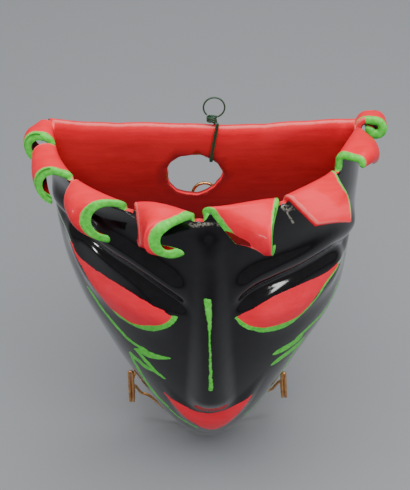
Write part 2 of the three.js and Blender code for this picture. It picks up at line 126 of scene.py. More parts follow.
def make_camera():
    across, above, back = camera_axes()
    lean = Matrix.Rotation(-LEAN, 3, "X")
    axes = Matrix([lean @ across, lean @ above, lean @ back]).transposed()
    place = Vector(to_ground(list(TARGET + back * DISTANCE)))
    camera_data = bpy.data.cameras.new("camera")
    camera_data.lens, camera_data.sensor_width = LENS, SENSOR_WIDTH
    camera_data.shift_x, camera_data.shift_y = FRAME_SHIFT
    camera_data.clip_start = 0.05
    camera = bpy.data.objects.new("camera", camera_data)
    bpy.context.collection.objects.link(camera)
    camera.matrix_world = Matrix.Translation(place) @ axes.to_4x4()
    bpy.context.scene.camera = camera
    print("camera at", [round(v, 3) for v in place])


make_camera()

# %% [markdown]
# ## The form of the pocket
#
# Seen from the front the mask is a rounded shield, and every horizontal slice through it is a rounded
# half oval standing on the flat back. It could be sculpted, but then nothing would say how wide or deep
# it is. So two falling curves give the half width and the depth at each height, and everything else
# is measured from them. A point on the front is named by its height and by an angle `phi`, which runs
# from -90 degrees at the left end of the back to +90 at the right, with the nose near 0.

# %% Sizes of the pocket
HEIGHT, HALF_WIDTH, DEPTH, WALL = 247.0, 101.5, 84.0, 4.5
WIDTH_POWERS, DEPTH_POWERS = (3.04, 1.09), (4.0, 2.0)  # how the two curves fall towards the chin
FRONT_POWER = 1.7  # 2 would make the front of a slice a true oval, less makes it more pointed
CHEEK_HOLLOW, CHEEK_Z, CHEEK_REACH = 5.8, 76, 57
RIM_BELOW_BACK, RIM_DROP = 5.5, 20.5
POCKET_FLOOR, POCKET_ROUND = 12.0, 26.0
print("the pocket is", HEIGHT, "mm high,", 2 * HALF_WIDTH, "mm wide and", DEPTH, "mm deep")


# %% Width and depth of a slice
def bell(v):
    """A soft bump: 1 in the middle, falling to 0 at -1 and at 1."""
    return np.where(np.abs(v) >= 1, 0, (1 - v * v) ** 2)


def smooth(a, b, v):
    """Goes gently from 0 where v is `a` to 1 where it is `b`; `a` may be the greater."""
    t = np.clip((v - a) / (b - a), 0, 1)
    return t * t * (3 - 2 * t)


def falling(z, size, powers):
    below = np.maximum(0, 1 - z / HEIGHT)
    return size * (1 - below ** powers[0]) ** (1 / powers[1])


def half_width(z):
    return falling(z, HALF_WIDTH, WIDTH_POWERS) - CHEEK_HOLLOW * bell((z - CHEEK_Z) / CHEEK_REACH)


def depth_at(z):
    return falling(z, DEPTH, DEPTH_POWERS)


print("half width at the mouth", round(float(half_width(60)), 1), "mm, at the eyes",
      round(float(half_width(160)), 1), "mm")

# %% [markdown]
# The pocket was built by hand, so it is not quite even: its middle stands a little to the right, its sides
# are squarer near the chin and where the rim flares, and the back wall's top sags where the wire hangs.

# %% Slices, rim and top of the back
BACK_TOP = [(-1, 5.2), (-0.9, 4), (-0.78, 2.6), (-0.65, 1.5), (-0.45, 0.8), (-0.25, 0.1), (-0.08, -0.9),
            (0.08, -2.2), (0.18, -2.9), (0.31, -2.5), (0.44, -1.8), (0.55, -1.2), (0.77, -0.7), (1, -0.6)]


def axis_x(z):
    """Where the middle of a slice stands: right of the chin's tip, most of all half way up."""
    return 1.7 + 2.4 * np.exp(-((z - 118) / 32) ** 2) - 2.8 * np.exp(-(z / 35) ** 2)


def side_power(phi, z):
    """The section is squarer at its sides near the chin and where the rim flares, mostly at the left."""
    flare = np.where(np.asarray(phi) < 0, 1.2 * smooth(212, 242, z), 0.3 * smooth(180, 215, z))
    return 2.2 - 0.4 * np.minimum(1, z / 215) + flare


def rim_z(phi):
    """The rim falls towards the front; its left end climbs to the top of the back wall."""
    corner = 5.0 * smooth(-66, -89, phi) + 3.0 * bell((np.asarray(phi) - 26) / 24)
    return HEIGHT - RIM_BELOW_BACK - RIM_DROP * np.abs(np.cos(np.radians(phi))) ** 1.4 + corner


def back_top(fraction):
    """Height of the back wall's top, at a fraction of the half width; it sags right of the middle."""
    keys, offsets = zip(*BACK_TOP)
    return HEIGHT + float(np.interp(fraction, keys, offsets))


def section(phi, z):
    """A point of the front, on the plain form without nose or eyes."""
    s, c = np.sin(np.radians(phi)), np.abs(np.cos(np.radians(phi)))
    x = axis_x(z) + half_width(z) * np.sign(s) * np.abs(s) ** (2 / side_power(phi, z))
    y = -depth_at(z) * c ** (2 / FRONT_POWER)
    return np.stack(np.broadcast_arrays(x, y, z), axis=-1)


def outward(phi, z):
    """The level direction that points away from the form."""
    along = section(phi + 0.05, z) - section(phi - 0.05, z)
    n = np.stack([along[..., 1], -along[..., 0], 0 * along[..., 0]], axis=-1)
    return n / np.linalg.norm(n, axis=-1, keepdims=True)


print("the rim is", round(float(rim_z(0)), 1), "mm high over the nose")

# %% [markdown]
# ## The modelled face
#
# The nose, the brows, the grooves over the eyes, the eyes and the lips are pushed out of or into
# the clay. A bump in the material would vanish at the outline, so they are real relief: each is a
# soft hill or valley added along the outward direction. The groove and the eye follow
# a line round the face, given by a few points that are joined smoothly.

# %% Relief of the face
GROOVE = [(-90, 197), (-62, 194.5), (-49.5, 191), (-40, 184.5), (-31, 179.5), (-22, 171.5), (-11.5, 159.5),
          (-2, 154), (9.5, 157.5), (18, 167), (28, 171), (42, 173.5), (54, 173.5), (68, 169), (90, 166)]
EYE_LINE = [(-63.5, 183), (-57.5, 169), (-51, 159.5), (-43, 154.5), (-28, 150.5), (-16, 148.5),
            (11, 148.5), (23, 146.5), (32, 146.5), (41, 148.5), (53.5, 154), (64.5, 162)]
NOSE_X, NOSE_RISE, GROOVE_DEPTH, BROW_RISE, EYE_RISE, LIP_RISE = 1.5, 11, 3.2, 3.4, 3.4, 2.2


def read_off(table, at, softness=2.5):
    """Reads a line of points, with its corners rounded over `softness` degrees."""
    keys, values = zip(*table)
    taps = np.linspace(-1, 1, 9) * softness
    return sum(np.interp(at + tap, keys, values) for tap in taps) / len(taps)


def relief(phi, z):
    """How far the face stands out of the plain form, in mm."""
    a = np.abs(phi)
    x = section(phi, z)[..., 0]
    nose_width = np.interp(z, [72, 200], [19, 11])
    nose_rise = NOSE_RISE * smooth(61, 83, z) * (0.2 + 0.8 * smooth(205, 95, z)) * smooth(222, 195, z)
    nose = nose_rise * bell((x - NOSE_X) / nose_width)
    from_groove = z - read_off(GROOVE, phi)
    beside_nose = smooth(7, 15, a)
    groove = -GROOVE_DEPTH * beside_nose * np.exp(-(from_groove / 5.5) ** 2)
    brow = BROW_RISE * beside_nose * np.exp(-((from_groove - 12) / 8) ** 2)
    from_eye = z - read_off(EYE_LINE, phi)
    eye = EYE_RISE * smooth(12, 22, a) * smooth(72, 56, a) * np.exp(-(from_eye / 12) ** 2)
    lips = LIP_RISE * smooth(30, 18, a) * bell((z - 48.5 - 0.036 * (phi + 2) ** 2) / 19)
    return (nose + groove + brow + eye + lips) * smooth(88, 70, a)


print("the nose stands out", round(float(relief(0.0, 90.0)), 1), "mm")

# %% [markdown]
# ## The eight tabs
#
# The potter cut the soft rim and rolled each tab over a finger. Every tab is a strip that starts at
# the rim, bends outward and then curls down and round. Bending a flat strip with a modifier would curl it
# evenly, but the left and right cut edges of these tabs follow different paths, which twists
# the tab into a cone. Each row below gives, for one edge: the angle on the rim, the skew of its path,
# the straight rise, the radius of the first bend, the droop, the straight length, and the radius, turn
# and tightening of the last curl, in mm and degrees.

# %% Sizes of the tabs
TABS = [
    [(-88.7, -5.3, 0.5, 2.9, 42.3, 6.7, 8.4, 122.7, 0.1), (-74.6, -32.3, 0, 6, -2.1, 2.2, 9.2, 179.9, 0.2)],
    [(-73, -10, 0, 4, 0, 1, 6, 165, 0), (-53, -52.8, 0, 2.7, -15, 4.8, 12.8, 185.8, 0.3)],
    [(-49.1, 7.2, 0, 2.3, 46.1, 2.8, 11, 107.3, 0), (-27.4, -69.8, 0, 4, -13.4, 4.1, 12, 196.3, 0)],
    [(-24.3, 38.9, 2.4, 2.6, 66.5, 9.1, 11.2, 85.8, 0), (-4.5, -80, 0, 3.8, -5.9, 8.6, 9.5, 221, 0)],
    [(-1.5, 69, 4.7, 2.8, 49.4, 23.1, 3, 29, 0), (23.8, -37, 0.2, 3, 14.3, 15.7, 11, 187, 0)],
    [(26.5, 28, 0, 3, 33.4, 20.6, 8.6, 4.8, 0.2), (50.4, -41.2, 0, 2.3, -0.5, 24.5, 11.8, 91.9, 0)],
    [(53.8, 5.5, 6.4, 3.8, -1.5, 8.8, 3.1, 128.6, 0.4), (75.7, -34.4, 4.7, 3, 17.7, 8.6, 9.2, 138.9, 0.3)],
    [(79, 0, 5, 6, 0, 4.5, 5.4, 286, 0.42), (88.5, 0, 3, 6, 0, 3.5, 5.4, 286, 0.42)],
]
DOMES = [0.4, 0, 0.9, 4.7, 2.5, 1.1, 2.6, 0]  # extra rise in the middle of each tab
REACH = [0, 0, 3.1, 12.6, 0, 0, 0, 0]  # how far the right edge stands out in front of the rest
TIPS = [1.2, 1.15, 1.1, 1.15, 0.8, 0.85, 0.95, 1.4]  # thickness at the tip, as a share of the wall
SKEW_END, REACH_START, REACH_END = 7, 2, 22  # mm along a path between which skew and reach come in
TAB_ROWS, STEPS_PER_ROW = 40, 6
FACE_STEP = 0.72  # degrees between two columns of the mesh
print(len(TABS), "tabs with", TAB_ROWS, "rows each")

# %% [markdown]
# A path is walked in small steps. Its heading says how steeply it runs at each step: straight up off
# the rim, over the first bend, straight on with a little droop, and then round the curl, which may
# tighten like a scroll. The wall's two faces lie half a thickness to either side of the path.

# %% Walk along the tabs
def heading_at(m, rise, bend, droop, straight_end, radius, turn, tighten):
    """Steepness of the paths after m mm, in radians: upward to begin with, level at 0, then downward."""
    curled = np.maximum(m - straight_end, 0) / radius
    safe = np.where(tighten > 0, tighten, 1)
    tightened = turn / safe * (1 - np.sqrt(np.maximum(0, 1 - 2 * safe * curled / turn)))
    curl = np.where(tighten > 0, tightened, curled)
    bend_end = rise + bend * (np.pi / 2 + droop)
    return np.where(m < bend_end, np.pi / 2 - np.maximum(m - rise, 0) / bend, -droop - curl)


def tab_faces(edges, dome, reach, tip):
    """Walks the paths of all columns of a tab; gives its lower and upper face, [column, row, xyz]."""
    phi, skew, rise, bend, droop, straight, radius, turn, tighten = edges.T
    mix = np.linspace(0, 1, len(edges))
    rise = rise + dome * (1 - (2 * mix - 1) ** 2)
    turn, droop = np.radians(turn), np.radians(droop)
    straight_end = rise + bend * (np.pi / 2 + droop) + straight
    total = straight_end + radius * (1 - tighten / 2) * turn
    steps = TAB_ROWS * STEPS_PER_ROW
    step = total / steps
    out = outward(phi, rim_z(phi))
    at = section(phi, rim_z(phi)) - out * WALL / 2
    under, upper = [], []
    for i in range(steps):
        m = (i + 0.5) * step
        heading = heading_at(m, rise, bend, droop, straight_end, radius, turn, tighten)
        aside = np.radians(skew) * smooth(0, SKEW_END, m)
        c, s = np.cos(aside), np.sin(aside)
        side = np.stack([out[:, 0] * c - out[:, 1] * s, out[:, 0] * s + out[:, 1] * c, 0 * c], axis=-1)
        move = side * np.cos(heading)[:, None]
        move[:, 2] = np.sin(heading)
        at = at + move * step[:, None]
        if (i + 1) % STEPS_PER_ROW:
            continue
        half = WALL / 2 * (1 + (tip - 1) * (i + 1) / steps)
        pushed = reach * mix ** 2 * smooth(REACH_START, REACH_END, (i + 1) * step)
        middle = at + out * pushed[:, None]
        across = side * np.sin(heading)[:, None]
        across[:, 2] = -np.cos(heading)
        under.append(middle + across * half)
        upper.append(middle - across * half)
    return np.stack(under, axis=1), np.stack(upper, axis=1), total


print("a tab is walked in", TAB_ROWS * STEPS_PER_ROW, "steps")

# %% [markdown]
# ## The columns of the mask's mesh
#
# A form like this one, which turns from a wall into curled strips, has no primitive that it could grow
# from, so its mesh is laid out in code: columns run up the outside, over the rim and down the inside,
# and neighbouring columns are joined with quads. The columns of a tab make a detour along its
# path. The rows outside follow the grooves over the eyes, so that the relief stays crisp.

# %% Rows and columns
ROW_BANDS = [26, 38, 34, 42, 20]  # rows between the heights that `row_heights` names, from the chin up
OUTER_ROWS, INNER_ROWS = sum(ROW_BANDS), 52
BACK_FRACTIONS = np.concatenate([[0.985, 0.96, 0.93], np.linspace(0.9, -0.9, 37), [-0.93, -0.96, -0.985]])


def row_heights(top, groove):
    """Heights of the rows outside, closer together at the chin and about the groove."""
    ends = [0, 30, 80, groove - 27, groove + 18, top]
    rows = []
    for band, count in enumerate(ROW_BANDS):
        power = 1.5 if band == 0 else 1
        steps = (np.arange(1, count + 1) / count) ** power
        rows.append(ends[band] + (ends[band + 1] - ends[band]) * steps)
    return np.concatenate(rows)


def inner_rows(top):
    """Heights of the rows inside, and the share of its full width that the rounded floor leaves each."""
    z = POCKET_FLOOR + (top - POCKET_FLOOR) * (np.arange(1, INNER_ROWS + 1) / INNER_ROWS) ** 1.15
    u = np.minimum(1, (z - POCKET_FLOOR) / POCKET_ROUND)
    return z, np.sqrt(1 - (1 - u) ** 2)


def front_column(phi):
    """The outer and the inner points of a column of the front."""
    top = float(rim_z(phi))
    z = row_heights(top, float(read_off(GROOVE, phi)))
    raised = relief(phi, z) * smooth(top, top - 15, z)
    outer = section(phi, z) + outward(phi, z) * raised[:, None]
    z, share = inner_rows(top)
    s, c = math.sin(math.radians(phi)), abs(math.cos(math.radians(phi)))
    x = axis_x(z) + (half_width(z) - WALL) * share * math.copysign(1, s) * abs(s) ** (2 / side_power(phi, z))
    y = -WALL - (depth_at(z) - 2 * WALL) * share * c ** (2 / FRONT_POWER)
    return outer, np.stack([x, y, z], axis=-1)


def back_column(fraction):
    """The same for the back wall, at a fraction of the half width."""
    groove = GROOVE[0][1] + (GROOVE[-1][1] - GROOVE[0][1]) * (fraction + 1) / 2
    top = back_top(fraction)
    z = row_heights(top, groove)
    outer = np.stack([axis_x(z) + fraction * half_width(z), 0 * z, z], axis=-1)
    z, share = inner_rows(top)
    x = axis_x(z) + fraction * (half_width(z) - WALL) * share
    return outer, np.stack([x, 0 * z - WALL, z], axis=-1)


print(OUTER_ROWS, "rows outside,", INNER_ROWS, "inside")


# %% Lay out the columns
def tab_columns(number):
    """The columns of one tab, from its left edge to its right one."""
    left, right = np.array(TABS[number], float)
    count = int(round((right[0] - left[0]) / FACE_STEP))
    rows = left + (right - left) * np.linspace(0, 1, count + 1)[:, None]
    under, upper, length = tab_faces(rows, DOMES[number], REACH[number], TIPS[number])
    return [dict(phi=row[0], tab=number, place=i, last=count,
                 under=under[i], upper=upper[i], length=length[i]) for i, row in enumerate(rows)]


def lay_out_columns():
    """Every column: its outer and inner points and, on a tab, the tab's two faces."""
    columns = [dict(phi=-90.0, tab=None)]
    for number, (_, right) in enumerate(TABS):
        columns += tab_columns(number)
        if number + 1 < len(TABS):
            columns.append(dict(phi=(right[0] + TABS[number + 1][0][0]) / 2, tab=None))
    columns.append(dict(phi=90.0, tab=None))
    for column in columns:
        column["outer"], column["inner"] = front_column(column["phi"])
    for fraction in BACK_FRACTIONS:
        outer, inner = back_column(fraction)
        columns.append(dict(phi=None, tab=None, outer=outer, inner=inner))
    return columns


columns = lay_out_columns()
print(len(columns), "columns")

# %% [markdown]
# ## Rounded cut edges
#
# Clay that is cut with a knife and then glazed has no sharp corner: the edge is a little bullnose. A bevel
# would round every edge alike, and could not follow strips that curl. So, across the thickness of
# each cut edge, a few extra points are set, pushed outward in an arc, and the corners themselves are
# drawn in, so that the outline stays where it was.

# %% Edges
EDGE_ROUND, TIP_ROUND = 0.9, 0.7  # mm
EDGE_STEPS = 4  # steps across the thickness of a cut edge
EDGE_SHARES = np.arange(1, EDGE_STEPS) / EDGE_STEPS
FADE_ROWS = 3  # rows over which the rounding of a side begins at the rim


def across_edge(low, high, push, round_by=EDGE_ROUND):
    """Points between two corners of an edge, bulging by `round_by` mm along `push`."""
    bulge = np.sqrt(1 - (2 * EDGE_SHARES - 1) ** 2) * round_by
    return low + (high - low) * EDGE_SHARES[:, None] + push * bulge[:, None]


def unit(v):
    return v / max(np.linalg.norm(v), 1e-9)


def edge_push(index, row):
    """Outward direction of a tab's cut side at a column and row."""
    here = columns[index]
    inner = columns[index + 1] if here["place"] == 0 else columns[index - 1]
    return unit(here["upper"][row] - inner["upper"][row] + here["under"][row] - inner["under"][row])


def draw_in_corners():
    """Moves the corners of the cut sides and tips in by the rounding, before the arcs are added."""
    on_tabs = [(index, column) for index, column in enumerate(columns) if column["tab"] is not None]
    for index, column in on_tabs:
        if column["place"] in (0, column["last"]):
            column["push"] = [edge_push(index, row) for row in range(TAB_ROWS)]
    for _, column in on_tabs:
        tip = unit(column["upper"][-1] - column["upper"][-2])
        column["tip_push"] = tip
        for face in ("upper", "under"):
            moved = column[face].copy()
            moved[-1] -= tip * EDGE_ROUND * 0.5
            if "push" in column:
                fade = np.minimum(1, np.arange(1, TAB_ROWS + 1) / FADE_ROWS)[:, None]
                moved -= np.array(column["push"]) * EDGE_ROUND * fade
            column[face] = moved


draw_in_corners()
print(sum("push" in column for column in columns), "cut sides drawn in")

# %% [markdown]
# ## Which paint goes where
#
# The potter painted the inside red up to the cut edge, glazed the outside black, and ran a loaded brush of
# green along the cut edges that face the viewer. A picture wrapped round the mask would smear on the
# curls. Instead, each vertex carries a few numbers for the materials: `side` is the distance in mm from
# the middle of the rim, positive on the red side; `green` is the distance from the nearest green edge;
# `along` tells how far out on a tab the vertex lies; `face` holds the angle and the height on the front,
# where the strokes go.

# %% Paint numbers of the tabs
# How far, in mm, the green laps over the left edge, the right edge and the tip of each tab.
GREEN_EDGES = [(None, 2.2, None), (None, 1.8, None), (None, 2.2, None), (None, 2.4, 0.6),
               (0.3, 1.6, None), (None, 1.0, None), (1.2, None, None), (1.4, None, None)]
FULL_LAP = 2.2  # mm of green on a face, where its number is the plain distance from the edge
FACE_START = 0.8  # what is added on the faces, so that the cut edge itself is surely green
FAR = 40.0
ROLL_TAB, ROLL_START = 7, 12  # the roll at the right end of the rim, and the row where it begins


def tab_paint():
    """Adds to each tab column the distances of its rows from the cut edges and from green ones."""
    for number, laps in enumerate(GREEN_EDGES):
        group = [c for c in columns if c["tab"] == number]
        for face in ("upper", "under"):
            points = np.stack([c[face] for c in group])
            steps = np.linalg.norm(np.diff(points, axis=0), axis=-1)
            from_left = np.concatenate([np.zeros((1, TAB_ROWS)), np.cumsum(steps, axis=0)])
            from_right = from_left[-1] - from_left
            lengths = np.array([c["length"] for c in group])[:, None]
            from_tip = lengths * (1 - np.arange(1, TAB_ROWS + 1) / TAB_ROWS)
            from_edge = np.minimum(np.minimum(from_left, from_right), from_tip)
            parts = [np.full_like(d, FAR) if lap is None else d + FULL_LAP - lap
                     for d, lap in zip((from_left, from_right, from_tip), laps)]
            from_green = np.minimum(np.minimum(parts[0], parts[1]), parts[2])
            for c, edge, green in zip(group, from_edge, from_green):
                c["edge_" + face], c["green_" + face] = edge, green


tab_paint()
print("green runs along", sum(lap is not None for laps in GREEN_EDGES for lap in laps), "edges")

# %% [markdown]
# ## Building the mesh
#
# Now the points are numbered and the quads written down. One list keeps the paint numbers
# in step with the points.

# %% Number the points
NO_FACE = (0.0, 999.0)  # an angle and a height that no stroke reaches
points, paint, faces = [], [], []


def put(point, side, green=FAR, along=0.0, face=NO_FACE):
    points.append(point)
    paint.append((side, green, along, face[0], face[1]))
    return len(points) - 1


def put_arc(arc, green=FAR, along=0.0):
    """The points across a cut edge, from the black side to the red one."""
    return [put(p, WALL * (share - 0.5), green, along) for p, share in zip(arc, EDGE_SHARES)]


def put_tab(column):
    """The lower and the upper face of a tab."""
    for rows, face, sign in (("u", "under", -1), ("t", "upper", 1)):
        column[rows] = [put(column[face][r], sign * (WALL / 2 + column["edge_" + face][r]),
                            column["green_" + face][r] + FACE_START, (r + 1) / TAB_ROWS)
                        for r in range(TAB_ROWS)]


def put_cut_side(column, top_out, top_in):
    """An arc at the rim and one at each row of a cut side."""
    lap = GREEN_EDGES[column["tab"]][0 if column["place"] == 0 else 1]
    first_green = ROLL_START if column["tab"] == ROLL_TAB else -1
    for r in range(-1, TAB_ROWS):
        low, high, push = top_out, top_in, np.zeros(3)
        if r >= 0:
            low, high = column["under"][r], column["upper"][r]
            push = column["push"][r] * min(1, (r + 1) / FADE_ROWS)
        if r == TAB_ROWS - 1:
            push = push * 0.7 + column["tip_push"] * 0.7
        green = FAR if lap is None or r < first_green else 0.0
        column["cut"][r + 1] = put_arc(across_edge(low, high, push), green, (r + 1) / TAB_ROWS)


def put_tip(column):
    """The arc across the tip, between the two cut sides."""
    nearest = min(column["green_upper"][-1], column["green_under"][-1]) + FACE_START
    green = nearest if GREEN_EDGES[column["tab"]][2] is None else 0.0
    arc = across_edge(column["under"][-1], column["upper"][-1], column["tip_push"], TIP_ROUND)
    column["cut"][TAB_ROWS] = put_arc(arc, green, 1.0)


def put_column(column):
    """Numbers a column's points and keeps the numbers in it."""
    phi, top_out, top_in = column["phi"], column["outer"][-1], column["inner"][-1]
    column["o"] = [put(p, -WALL / 2 - (top_out[2] - p[2]), face=NO_FACE if phi is None else (phi, p[2]))
                   for p in column["outer"]]
    column["i"] = [put(p, WALL / 2 + (top_in[2] - p[2])) for p in column["inner"]]
    column["cut"] = {}
    if column["tab"] is None:
        column["cut"][0] = put_arc(across_edge(top_out, top_in, np.array([0, 0, 1.0])))
        return
    put_tab(column)
    if "push" in column:
        put_cut_side(column, top_out, top_in)
    else:
        put_tip(column)


chin = put(np.array([float(axis_x(0.0)), 0, 0]), -200.0)
floor_middle = put(np.array([float(axis_x(POCKET_FLOOR)), -WALL, POCKET_FLOOR]), 200.0)
for column in columns:
    put_column(column)
print(len(points), "points")


# %% Join them with quads
def strip(a, b):
    """Quads between two rows of vertex numbers of equal length."""
    for n in range(len(a) - 1):
        faces.append((a[n], b[n], b[n + 1], a[n + 1]))


def edge_line(column, row):
    """The vertex numbers from the black side to the red one, over the rim or over a tab's tip."""
    black, red = ("u", "t") if row else ("o", "i")
    return [column[black][-1]] + column["cut"][row] + [column[red][-1]]


def join(here, after):
    """Closes the gap between two neighbouring columns."""
    faces.append((chin, after["o"][0], here["o"][0]))
    faces.append((floor_middle, here["i"][0], after["i"][0]))
    strip(here["o"], after["o"])
    strip(after["i"], here["i"])
    if here["tab"] is not None and here["tab"] == after["tab"]:
        strip([here["o"][-1]] + here["u"], [after["o"][-1]] + after["u"])
        strip([after["i"][-1]] + after["t"], [here["i"][-1]] + here["t"])
        strip(edge_line(here, TAB_ROWS), edge_line(after, TAB_ROWS))
    else:
        strip(edge_line(here, 0), edge_line(after, 0))


def close_cut_side(column):
    under, upper = [column["o"][-1]] + column["u"], [column["i"][-1]] + column["t"]
    lines = [[under[r]] + column["cut"][r] + [upper[r]] for r in range(TAB_ROWS + 1)]
    for low, high in zip(lines, lines[1:]):
        if column["place"] == 0:
            strip(low, high)
        else:
            strip(high, low)


for n, column in enumerate(columns):
    join(column, columns[(n + 1) % len(columns)])
for column in columns:
    if "push" in column:
        close_cut_side(column)
print(len(faces), "faces in the mask before the hole")

# %% [markdown]
# ## From points to an object
#
# A pocket that is built by hand from slabs is never quite even. A slow wander of a few
# tenths of a millimetre is added to every point except on the flat back, whose top edge sags and has
# small dents instead. Sines do this without a seam, and give the same mask every time. Then the
# mask is leaned back and set in its place.

# %% Unevenness
BACK_EDGE_HIGH = 14  # mm below the top that the sag reaches


def wander(p):
    """A slow unevenness of the hand-built clay, in mm."""
    x, y, z = p[:, 0], p[:, 1], p[:, 2]
    dx = 0.22 * np.sin(z / 17 + 1.3) * np.cos(y / 21) + 0.08 * np.sin(z / 6.3 + y / 8)
    dy = 0.22 * np.sin(x / 19 + z / 23) + 0.1 * np.sin(x / 7.1 - z / 9.4 + 2)
    dz = 0.15 * np.sin(x / 14 + 0.5) + 0.1 * np.sin(y / 9)
    shift = np.stack([dx, dy, dz], axis=-1)
    return shift * smooth(0, 12, -y)[:, None]


def edge_of_back(p):
    """Lets the back wall's top edge sag a little, with small dents, as cut clay does."""
    x, y, z = p[:, 0], p[:, 1], p[:, 2]
    sag = 0.35 * np.sin(x / 6.5 + 1) * np.sin(x / 17) + 0.3
    dents = 0.5 * np.exp(-((x - 40) / 3.0) ** 2) + 0.6 * np.exp(-((x + 55) / 4.0) ** 2)
    near_top = smooth(HEIGHT - BACK_EDGE_HIGH, HEIGHT, z) * smooth(-8, -5, y)
    inside = np.abs(x) < half_width(HEIGHT) - 1
    return -(sag + dents) * near_top * inside


def keep_inside(p, room=0.00005, soft=0.004):
    """Squeezes the outermost 4 mm a little, so that no point leaves the box of the CAD model."""
    low, high = (np.array(corner) for corner in cad_box)
    for axis in (0, 1):
        for sign, edge in ((1, high[axis]), (-1, -low[axis])):
            over = sign * p[:, axis] - (edge - room - soft)
            worst = max(over.max(), soft)
            p[:, axis] -= sign * np.where(over > 0, over * (1 - soft / worst), 0)
    return p


shaped = np.array(points, float)
shaped = shaped + wander(shaped)
shaped[:, 2] += edge_of_back(shaped)
print("the highest point of the clay is at", round(float(shaped[:, 2].max()), 1), "mm")


# %% The mask object
def new_mesh_object(name, verts, polys):
    mesh = bpy.data.meshes.new(name)
    mesh.from_pydata([tuple(map(float, v)) for v in verts], [], polys)
    mesh.update()
    thing = bpy.data.objects.new(name, mesh)
    bpy.context.collection.objects.link(thing)
    return thing


def make_mask():
    thing = new_mesh_object("mask_glazed", keep_inside(to_ground(shaped)), faces)
    values = np.array(paint, float)
    for column, name in enumerate(("side", "green", "along")):
        layer = thing.data.attributes.new(name, "FLOAT", "POINT")
        layer.data.foreach_set("value", values[:, column])
    layer = thing.data.attributes.new("face", "FLOAT_VECTOR", "POINT")
    face = np.concatenate([values[:, 3:5], np.zeros((len(values), 1))], axis=1)
    layer.data.foreach_set("vector", face.ravel())
    return thing


mask = make_mask()
print(mask.name, len(mask.data.polygons), "faces")

# %% [markdown]
# ## The hanging hole
#
# The hole in the back was cut by hand: a rough oval. A plug of that shape, wider at both
# faces of the wall so that the hole's edges come out softened, is taken away with a Boolean. The
# plug is a stack of outlines, each a little behind the last.

# %% The plug
HOLE_X, HOLE_Z, HOLE_WIDE, HOLE_HIGH, HOLE_SIDES = -6.0, 211.0, 18.0, 14.5, 72
# Depth of each outline, and how far it stands out of the hole's own outline, in mm.
PLUG = [(6, 0.7), (0.1, 0.65), (-0.25, 0.25), (-0.7, 0), (-1.6, -0.2), (-2.9, -0.2), (-3.8, 0), (-4.25, 0.25),
        (-4.6, 0.65), (-12, 0.7)]


def hole_outline(grow):
    a = np.linspace(0, 2 * np.pi, HOLE_SIDES, endpoint=False)
    ragged = 1 + 0.03 * np.sin(3 * a + 1) + 0.02 * np.cos(5 * a)
    ragged += 0.012 * np.sin(9 * a + 2) + 0.008 * np.sin(16 * a)
    x = HOLE_X + np.cos(a) * (HOLE_WIDE * ragged + grow)
    z = HOLE_Z + np.sin(a) * (HOLE_HIGH * ragged + grow)
    return x, z


def tube_faces(rings, sides):
    """Faces of a closed tube whose vertices are numbered ring by ring."""
    polys = []
    for first in range(0, (rings - 1) * sides, sides):
        for i in range(sides):
            j = (i + 1) % sides
            polys.append((first + i, first + j, first + sides + j, first + sides + i))
    last = (rings - 1) * sides
    return polys + [tuple(reversed(range(sides))), tuple(range(last, last + sides))]


def make_plug():
    verts = []
    for depth, grow in PLUG:
        x, z = hole_outline(grow)
        verts.extend(zip(x, [depth] * HOLE_SIDES, z))
    return new_mesh_object("plug", to_ground(np.array(verts)), tube_faces(len(PLUG), HOLE_SIDES))


plug = make_plug()
print("the hole is about", 2 * HOLE_WIDE, "x", 2 * HOLE_HIGH, "mm")


# %% Cut the hole
def only(thing):
    bpy.ops.object.select_all(action="DESELECT")
    thing.select_set(True)
    bpy.context.view_layer.objects.active = thing


def cut_hole():
    only(plug)
    bpy.ops.object.mode_set(mode="EDIT")
    bpy.ops.mesh.select_all(action="SELECT")
    bpy.ops.mesh.normals_make_consistent(inside=False)
    bpy.ops.object.mode_set(mode="OBJECT")
    only(mask)
    cut = mask.modifiers.new("hole", "BOOLEAN")
    cut.operation = "DIFFERENCE"
    cut.solver = "EXACT"
    cut.object = plug
    bpy.ops.object.modifier_apply(modifier="hole")
    bpy.data.objects.remove(plug)


cut_hole()
print("after the hole", len(mask.data.polygons), "faces")

# %% [markdown]
# The Boolean makes new vertices round the hole, so their paint numbers are written afresh: black at the
# back's own face, red from there inward. Then the mask is shaded smooth.

# %% Paint numbers at the hole
NEAR_HOLE = 1.25  # in half widths of the hole
BLACK_SIDE, RED_SIDE = -30, 60  # mm from the rim, well inside each paint


def repaint_hole():
    count = len(mask.data.vertices)
    place = np.zeros(count * 3)
    mask.data.vertices.foreach_get("co", place)
    x, y, z = upright(place.reshape(-1, 3)).T
    far = np.hypot((x - HOLE_X) / HOLE_WIDE, (z - HOLE_Z) / HOLE_HIGH)
    near = (far < NEAR_HOLE) & (y > -WALL - 0.3)
    for name, fresh in (("side", np.where(y > -0.6, BLACK_SIDE, RED_SIDE)), ("green", np.full(count, FAR))):
        layer = mask.data.attributes[name].data
        values = np.zeros(count)
        layer.foreach_get("value", values)
        values[near] = fresh[near]
        layer.foreach_set("value", values)


repaint_hole()
only(mask)
bpy.ops.object.shade_smooth()
print("painted", len(mask.data.vertices), "vertices")

# %% [markdown]
# ## Wires
#
# Every wire is a tube swept along a route. The corners of a route are rounded first, as
# wire bends round the jaws of the pliers. A curve with a bevel would do for most of them, but its
# ends stay flat; sweeping the rings in code gives each cut end a small dome.

# %% Bend and sweep a wire
WIRE, GREEN_WIRE, BACK_GAP = 1.05, 0.55, 0.35  # two radii and the room that a wire leaves to the clay, mm
BEHIND = BACK_GAP + WIRE
DOME = [(0.99, 0.12), (0.87, 0.5), (0.5, 0.87)]  # how far out each ring of a domed end lies, and its size
DOME_FLATTENED = 0.6  # a cut end stands out less than half a ball would


